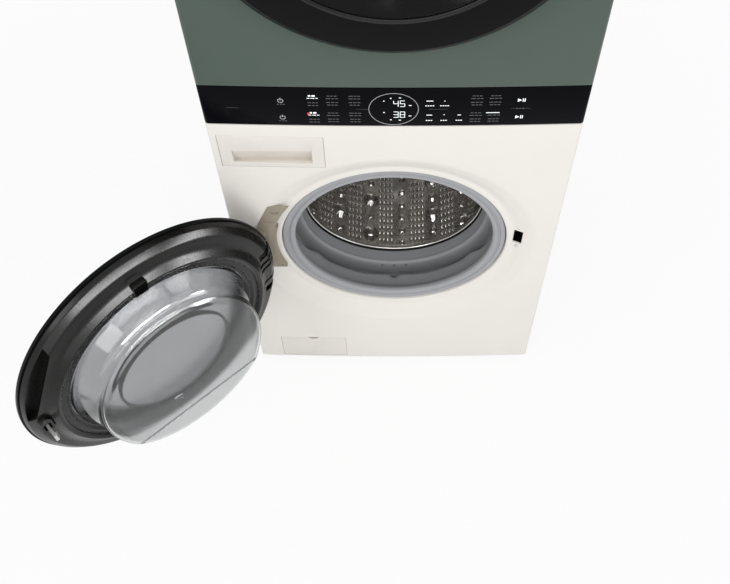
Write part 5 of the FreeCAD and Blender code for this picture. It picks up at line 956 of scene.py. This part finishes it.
def drain_bore(angle):
    """Volume of a drain hole in the fold's floor."""
    turn = math.radians(angle)
    x, up = DRAIN_RING_R * math.cos(turn), DRAIN_RING_R * math.sin(turn)
    return slab(round_head(x, WASHER_Z + up, DRAIN_BORE_R), FRONT_Y + 86, FRONT_Y + 112)


gasket = lathe(dense(rounded(GASKET), 5.0), WASHER_Z, FRONT_Y, 480, warp=gasket_warp)
gasket = carved(gasket, *[drain_bore(BOTTOM + k * DRAIN_STEP) for k in (-1, 0, 1)])
piece("mouth_gasket", gasket, grey_rubber, "cabinet", "door_gasket", ["door_gasket"])


# Washer drum
DRUM_R = 278.3
DRUM_Y0 = -196.0
DRUM_Y1 = 242.0
COLUMNS = 22
COLUMN_CELLS = 40
DOME_CELLS = (20, 40)
DOME_MIDDLE = 30
DOME_PITCH = 105.0
DOME_POWER = 0.6
HOLE_STEPS = (2, 7, 12, 17)
HOLE_R = 1.0
HOLE_PRESS = 2.8
HOLE_PITCH = 19.0
FIRST_HOLE = 9.0
PLAIN_END = 12.0
ROW_OFFSETS = (-4.2, -2.1, 0.0, 2.1, 4.2, 9.5)
DRUM_FRONT = [
    (200.5, -225), (200.5, -232.5, 2.4), (195.2, -232.5, 2.4), (195.2, -222, 3), (205, -219, 4),
    (266, -209, 9), (DRUM_R, DRUM_Y0)]
DRUM_BACK = [
    (DRUM_R, DRUM_Y1), (DRUM_R, 248.5, 6), (172, 248.5, 9), (155, 234.5, 9), (60, 234.5, 8), (48, 244, 6),
    (0, 244)]


def dome_row(first, count, radius, rise, pitch=DOME_PITCH):
    """Depth, radius and rise of even domes down a strip."""
    return [(first + pitch * k, radius, rise) for k in range(count)]


def dome_places(column):
    """Depth, radius and rise of the domes on the strip beside a column of holes."""
    kind = column % 3
    if kind == 0:
        return dome_row(60, 4, 19, 14.0) + dome_row(112, 3, 8, 6.0)
    if kind == 1:
        return dome_row(32, 10, 7.5, 5.0, 40)
    return dome_row(112, 3, 19, 14.0) + dome_row(60, 4, 11, 8.0)


def drum_wall():
    """Drum wall with its groups of holes and its pressed domes."""
    length = DRUM_Y1 - DRUM_Y0
    cells = COLUMNS * COLUMN_CELLS
    cell = 2 * math.pi * DRUM_R / cells
    groups = int((length - PLAIN_END) / HOLE_PITCH)
    depths = [FIRST_HOLE + HOLE_PITCH * k + offset for k in range(groups) for offset in ROW_OFFSETS]
    depths = [0.0] + depths + [length]
    rows = len(depths) - 1
    hole_rows = range(1 + ROW_OFFSETS.index(0.0), rows - 2, len(ROW_OFFSETS))
    places = {}
    holes = []
    for i in range(cells):
        for j in range(rows + 1):
            places[i, j] = [i * cell, depths[j], 0.0]
    for column in range(COLUMNS):
        first = column * COLUMN_CELLS
        for step in HOLE_STEPS:
            holes += [(first + step, j) for j in hole_rows]
        middle = first + DOME_MIDDLE
        for depth, radius, rise in dome_places(column):
            for i in range(first + DOME_CELLS[0], first + DOME_CELLS[1]):
                for j in range(rows + 1):
                    away = math.hypot((i - middle) * cell, depths[j] - depth) / radius
                    if away < 1:
                        places[i, j][2] += rise * (1 - away * away) ** DOME_POWER
    ring = [(a, b) for a in (-1, 0, 1) for b in (-1, 0, 1) if a or b]
    open_faces = set()
    for i, j in holes:
        for a, b in ring:
            share = HOLE_R / math.hypot(a, b)
            places[(i + a) % cells, j + b] = [i * cell + a * share, depths[j] + b * share, HOLE_PRESS]
        open_faces |= {((i + a) % cells, j + b) for a in (-1, 0) for b in (-1, 0)}
        del places[i, j]
    made = bmesh.new()
    verts = {}
    for key, (along, depth, rise) in places.items():
        angle = along / DRUM_R
        radius = DRUM_R - rise
        across, up = radius * math.cos(angle), radius * math.sin(angle)
        verts[key] = made.verts.new((across, DRUM_Y0 + depth, WASHER_Z + up))
    for i in range(cells):
        for j in range(rows):
            if (i, j) not in open_faces:
                nxt = (i + 1) % cells
                made.faces.new((verts[i, j], verts[nxt, j], verts[nxt, j + 1], verts[i, j + 1]))
    return made


def drum_ends():
    """Rolled mouth, coned front and pressed back of the drum."""
    front = lathe(rounded(DRUM_FRONT, False), WASHER_Z, 0.0, closed=False)
    back = lathe(dense(rounded(DRUM_BACK, False), 15, False), WASHER_Z, 0.0, closed=False)
    return joined(front, back)


drum = joined(drum_wall(), drum_ends())
bmesh.ops.recalc_face_normals(drum, faces=drum.faces)
piece("drum_shell", drum, drum_steel, "washer_drum", "washer_drum", ["washer_drum"])


# Control panel graphics
PANEL_MIDDLE = 957.0
BRIGHT_ROW = (176, 947)
SEGMENTS = {3: "abgcd", 4: "fgbc", 5: "afgcd", 8: "abcdefg"}


def printed(outline, lift=0.25):
    """A thin raised mark on the crowned front."""
    made = slab(outline, -lift, 0.4)
    for v in made.verts:
        v.co.y += face_y(v.co.x)
    return made


def ring_mark(x, z, outer, inner, start=0.0, sweep=360.0, count=64, squash=1.0):
    """A ring, or part of one, as a flat outline strip."""
    parts = []
    for k in range(count):
        one = math.radians(start + sweep * k / count)
        two = math.radians(start + sweep * (k + 1) / count)
        corners = [(inner, one), (outer, one), (outer, two), (inner, two)]
        parts.append(printed([(x + r * math.cos(a), z + squash * r * math.sin(a)) for r, a in corners]))
    made = joined(*parts)
    bmesh.ops.remove_doubles(made, verts=made.verts, dist=NEAR)
    return made


def bar(x, z, width, height):
    """A short printed stroke with round corners."""
    return printed(oblong(x, z, width, height, min(width, height) * 0.3))


def digit(value, x, z, width=8.0, height=14.5, stroke=1.1):
    """A seven-bar digit."""
    w, h = width / 2, height / 2
    bars = {"a": (0, h, width, stroke), "g": (0, 0, width, stroke), "d": (0, -h, width, stroke),
            "b": (w, h / 2, stroke, h), "c": (w, -h / 2, stroke, h), "f": (-w, h / 2, stroke, h),
            "e": (-w, -h / 2, stroke, h)}
    shown = [bars[segment] for segment in SEGMENTS[value]]
    return [bar(x + across, z + up, wide, high) for across, up, wide, high in shown]


def power_mark(x, z):
    """A ring with a gap at its top and a stroke in the gap."""
    return [ring_mark(x, z, 5.2, 4.0, 120, 300, 24), bar(x, z + 4, 1.2, 5)]


def play_mark(x, z):
    """An arrow and two strokes."""
    arrow = printed([(x - 6, z - 4), (x + 1, z), (x - 6, z + 4)])
    return [arrow, bar(x + 3.2, z, 1.6, 8), bar(x + 6.4, z, 1.6, 8)]


def label(x, z, widths, height=1.4, gap=1.6):
    """A line of short strokes."""
    start = x - (sum(widths) + gap * (len(widths) - 1)) / 2
    made = []
    for width in widths:
        made.append(bar(start + width / 2, z, width, height))
        start += width + gap
    return made


lit_marks = []
soft_marks = [ring_mark(-1, PANEL_MIDDLE, 44.0, 43.0, count=96, squash=0.92)]
for x, z in ((-198, 977), (-198, 934)):
    soft_marks += power_mark(x, z)
for x, z in ((221, 978), (221, 935)):
    lit_marks += play_mark(x, z)
for value, x, z in ((4, 3, 971.5), (5, 14.5, 971.5), (3, 3, 943.5), (8, 14.5, 943.5)):
    lit_marks += digit(value, x, z)
for x, z in ((-142, 984), (-142, 941)):
    lit_marks += label(x, z, (5, 7, 4))
    lit_marks += [bar(x - 5, z + 6, 4.5, 3.2), bar(x + 2, z + 6, 6, 3.2)]
for x, z in ((62, 966), (88, 966)):
    lit_marks += label(x, z, (3, 3, 3, 3), 1.6, 1.2)
for x, z in ((62, 928), (88, 928), (115, 928)):
    lit_marks += label(x, z, (3, 3, 3), 1.8, 1.2)
for x, z, width in ((62, 978, 12), (88, 978, 2), (62, 942, 10), (88, 943, 2), (115, 942, 6),
                    (174, 947, 24)):
    lit_marks.append(bar(x, z, width, 1.5))
for x, z, width, height in ((-6, 985, 2.4, 2.4), (10, 986, 3.6, 1.6), (-18, 978, 3, 1.4), (28, 967, 5, 1.4),
                            (28, 940, 5, 1.4), (-18, 949, 3, 1.6), (-6, 930, 3, 1.6), (10, 929, 4, 1.6)):
    lit_marks.append(bar(x, z, width, height))
dim_marks = [bar(-170, PANEL_MIDDLE, 250, 0.4), bar(150, PANEL_MIDDLE, 180, 0.4)]
for x in (-108, -69, 144, 176):
    for row, z in enumerate((990, 983.5, 974, 967.5, 947, 940.5, 931, 924.5)):
        if (x, z) != BRIGHT_ROW:
            dim_marks += label(x, z, (5 + (row * 3 + x) % 4, 4 + row % 3, 5))
for z in (973, 966, 930, 923):
    dim_marks += label(-142, z, (6, 5, 4))
for x, z in ((-198, 968), (-198, 925), (221, PANEL_MIDDLE)):
    dim_marks += label(x, z, (4, 3, 4))
warm_mark = [bar(-152, 944, 2, 6)]
for name, marks, finish in (("lit_marks", lit_marks, white_print), ("soft_marks", soft_marks, line_print),
                            ("dim_marks", dim_marks, dim_print), ("warm_mark", warm_mark, red_print)):
    piece(name, joined(*marks), finish, "cabinet", "control_panel")


# Back, sides and top
def stood_on(part, turn, shift):
    """A part drawn to face the front, turned and moved to another side of the cabinet."""
    part.transform(Matrix.Translation(shift) @ turn)
    return part


TO_BACK = (Matrix.Rotation(math.pi, 4, "Z"), (0, BACK_Y, 0))
TO_LEFT = (Matrix.Rotation(-math.pi / 2, 4, "Z"), (-HALF_W, 0, 0))
TO_RIGHT = (Matrix.Rotation(math.pi / 2, 4, "Z"), (HALF_W, 0, 0))
TO_TOP = (Matrix.Rotation(-math.pi / 2, 4, "X"), (0, 0, TOP_Z))
COVER_SCREW_R = 4.0
COVER_SCREW_X = 333.0
TOP_SCREW_BACK = 340.0
RIB_W = 30.0
RIB_ROUND = 14.9
RIB_RISE = 4.0
WASHER_RIBS_Z = 470.0
LOUVRE_PITCH = 18.0
LOUVRE_Z = 1716.0
FIELD_W = 540.0
FIELD_H = 780.0
FIELD_ROUND = 45.0
FIELD_RISE = 2.4
TOP_FIELD = 560.0


def side_piece(name, parts, side, finish, slot):
    """A piece made of parts that stand on one side of the cabinet."""
    piece(name, joined(*[stood_on(part, *side) for part in parts]), finish, "cabinet", slot)


def pressed(outline, rise):
    """A raised field pressed into a sheet."""
    return slab(outline, -rise, 0.6, rise - 0.2, 4)


def cover_screws(low, high, count):
    """Screws down both sides of a back cover and along its ends."""
    heights = [low + (high - low) * k / count for k in range(count + 1)]
    spots = [(side * COVER_SCREW_X, z) for side in (-1, 1) for z in heights]
    spots += [(x, z) for x in (-200, 0, 200) for z in (low, high)]
    return [stood_on(screw_head(x, z, 0.0, COVER_SCREW_R), *TO_BACK) for x, z in spots]


back_screws = cover_screws(30, 985, 6) + cover_screws(1012, 1876, 6)
for x in (-310, 0, 310):
    back_screws.append(stood_on(screw_head(x, TOP_SCREW_BACK, 0.0, COVER_SCREW_R), *TO_TOP))
piece("cover_screws", joined(*back_screws), plain_steel, "cabinet", "dryer_back_cover")

back_ribs = [pressed(oblong(x, WASHER_RIBS_Z, RIB_W, 620, RIB_ROUND), RIB_RISE) for x in (-170, 170)]
back_ribs.append(pressed(round_head(0, WASHER_RIBS_Z, 105, 64), 5.0))
side_piece("washer_back_ribs", back_ribs, TO_BACK, zinc_sheet, "washer_back_cover")

# The black strip under each louvre is painted shade where its gap into the cabinet lies dark.
louvres, slots = [], []
for column in (-1, 0, 1):
    for row in range(7):
        x, z = column * 130, LOUVRE_Z + LOUVRE_PITCH * row
        louvres.append(pressed(oblong(x, z, 96, 9, 4.4), 5.0))
        slots.append(slab(oblong(x, z - 5.6, 88, 2.6, 1.2), -0.5, 0.5))
louvres.append(pressed(round_head(0, DRYER_Z, 215, 96), 6.0))
louvres += [pressed(oblong(x, DRYER_Z, RIB_W, 380, RIB_ROUND), RIB_RISE) for x in (255, -255)]
side_piece("dryer_back_louvres", louvres, TO_BACK, zinc_sheet, "dryer_back_cover")
side_piece("louvre_slots", slots, TO_BACK, black_plastic_and_slot_shade, "dryer_back_cover")

for name, side in (("left_side", TO_LEFT), ("right_side", TO_RIGHT)):
    fields = [pressed(oblong(0, z, FIELD_W, FIELD_H, FIELD_ROUND), FIELD_RISE) for z in (480, 1420)]
    side_piece(name + "_fields", fields, side, silver_paint, name + "_panel")
top_field = pressed(oblong(0, 0, TOP_FIELD, TOP_FIELD, FIELD_ROUND), FIELD_RISE)
side_piece("top_field", [top_field], TO_TOP, silver_paint, "top_cover")


# Studio, with places in metres, angles in degrees and the lens in millimetres
WORLD_LEVEL = 0.68
SHADOW_KEPT = (1.2, 4.0)
CAMERA_SENSOR = 36.0
CAMERA_LENS = 47.55
CAMERA_SHIFT = -0.04
CAMERA_AHEAD = 1.5174
CAMERA_UP = 2.2364
CAMERA_DOWN = 58.74


def studio_white(name, colour, keep):
    """White seen by the camera, in gloss and through glass, with the shadow kept near the object."""
    made = Finish(name, colour, 0.9)
    across, deep = [made.node("ShaderNodeSeparateXYZ", {}, {0: made.place()}, axis) for axis in "XY"]
    away = (across * across + deep * deep) ** 0.5
    keep = made.ramp(away, *SHADOW_KEPT, keep, 1.0)
    glow = made.node("ShaderNodeEmission", {}, {"Color": (1, 1, 1, 1), "Strength": 1.0})
    sockets = {0: made.seen_rays() * keep, 1: Wire(made, made.shader.outputs[0]), 2: glow}
    mixed = made.node("ShaderNodeMixShader", {}, sockets)
    made.tree.links.new(mixed.socket, made.tree.nodes["Material Output"].inputs["Surface"])
    return made.material


floor_shape = bmesh.new()
bmesh.ops.create_grid(floor_shape, x_segments=4, y_segments=4, size=14.0)
floor_mesh = bpy.data.meshes.new("floor")
floor_shape.to_mesh(floor_mesh)
floor_mesh.materials.append(studio_white("studio_white", (0.85, 0.85, 0.85), 0.9))
floor = bpy.data.objects.new("floor", floor_mesh)
bpy.context.scene.collection.objects.link(floor)


def lamp(name, spot, aim, size, power):
    """A softbox at a spot in metres, turned to a place on the object."""
    data = bpy.data.lights.new(name, "AREA")
    data.shape = "RECTANGLE"
    data.size, data.size_y = size
    data.energy = power
    made = bpy.data.objects.new(name, data)
    made.location = spot
    made.rotation_euler = (Vector(aim) - Vector(spot)).to_track_quat("-Z", "Y").to_euler()
    bpy.context.scene.collection.objects.link(made)
    return made


lamp("top_softbox", (0.9, -1.9, 3.3), (0.1, -0.1, 0.8), (1.6, 1.0), 13)
lamp("left_softbox", (-1.7, -2.3, 3.0), (0.1, -0.1, 0.5), (1.2, 1.6), 24)
lamp("front_softbox", (-0.4, -4.2, 1.5), (0.2, -0.1, 0.8), (2.4, 2.4), 22)
lamp("right_softbox", (3.6, -2.0, 1.9), (0.3, -0.1, 0.8), (1.2, 2.4), 18)
front_strip = lamp("front_strip", (1.6, -2.6, 2.1), (-0.2, -0.3, 0.75), (3.0, 0.8), 190)
side_strip = lamp("side_strip", (3.0, -0.5, 1.2), (-0.1, -0.25, 0.75), (1.4, 0.8), 90)
strip_lit = bpy.data.collections.new("strip_lit")
for name in ("door_ring_outer", "door_ring_inner", "door_ring_trims", "door_window", "bowl_crease",
             "door_bowl"):
    strip_lit.objects.link(bpy.data.objects[name])
for strip in (front_strip, side_strip):
    strip.visible_diffuse = False
    strip.light_linking.receiver_collection = strip_lit

world = bpy.data.worlds.new("studio")
bpy.context.scene.world = world
sky = Nodes(world)
level = sky.node("ShaderNodeMapRange", {}, {0: sky.seen_rays(), 1: 0.0, 2: 1.0, 3: WORLD_LEVEL, 4: 1.0})
sky.fill(world.node_tree.nodes["Background"], {"Color": (1, 1, 1, 1), "Strength": level})

camera_data = bpy.data.cameras.new("camera")
camera_data.sensor_width = CAMERA_SENSOR
camera_data.lens = CAMERA_LENS
camera_data.shift_x = CAMERA_SHIFT
camera = bpy.data.objects.new("camera", camera_data)
camera.location = (FOOT_X * MM, FOOT_Y * MM - CAMERA_AHEAD, CAMERA_UP)
camera.rotation_euler = (math.radians(90 - CAMERA_DOWN), 0, 0)
bpy.context.scene.collection.objects.link(camera)
bpy.context.scene.camera = camera
bpy.context.scene.view_settings.view_transform = "Standard"
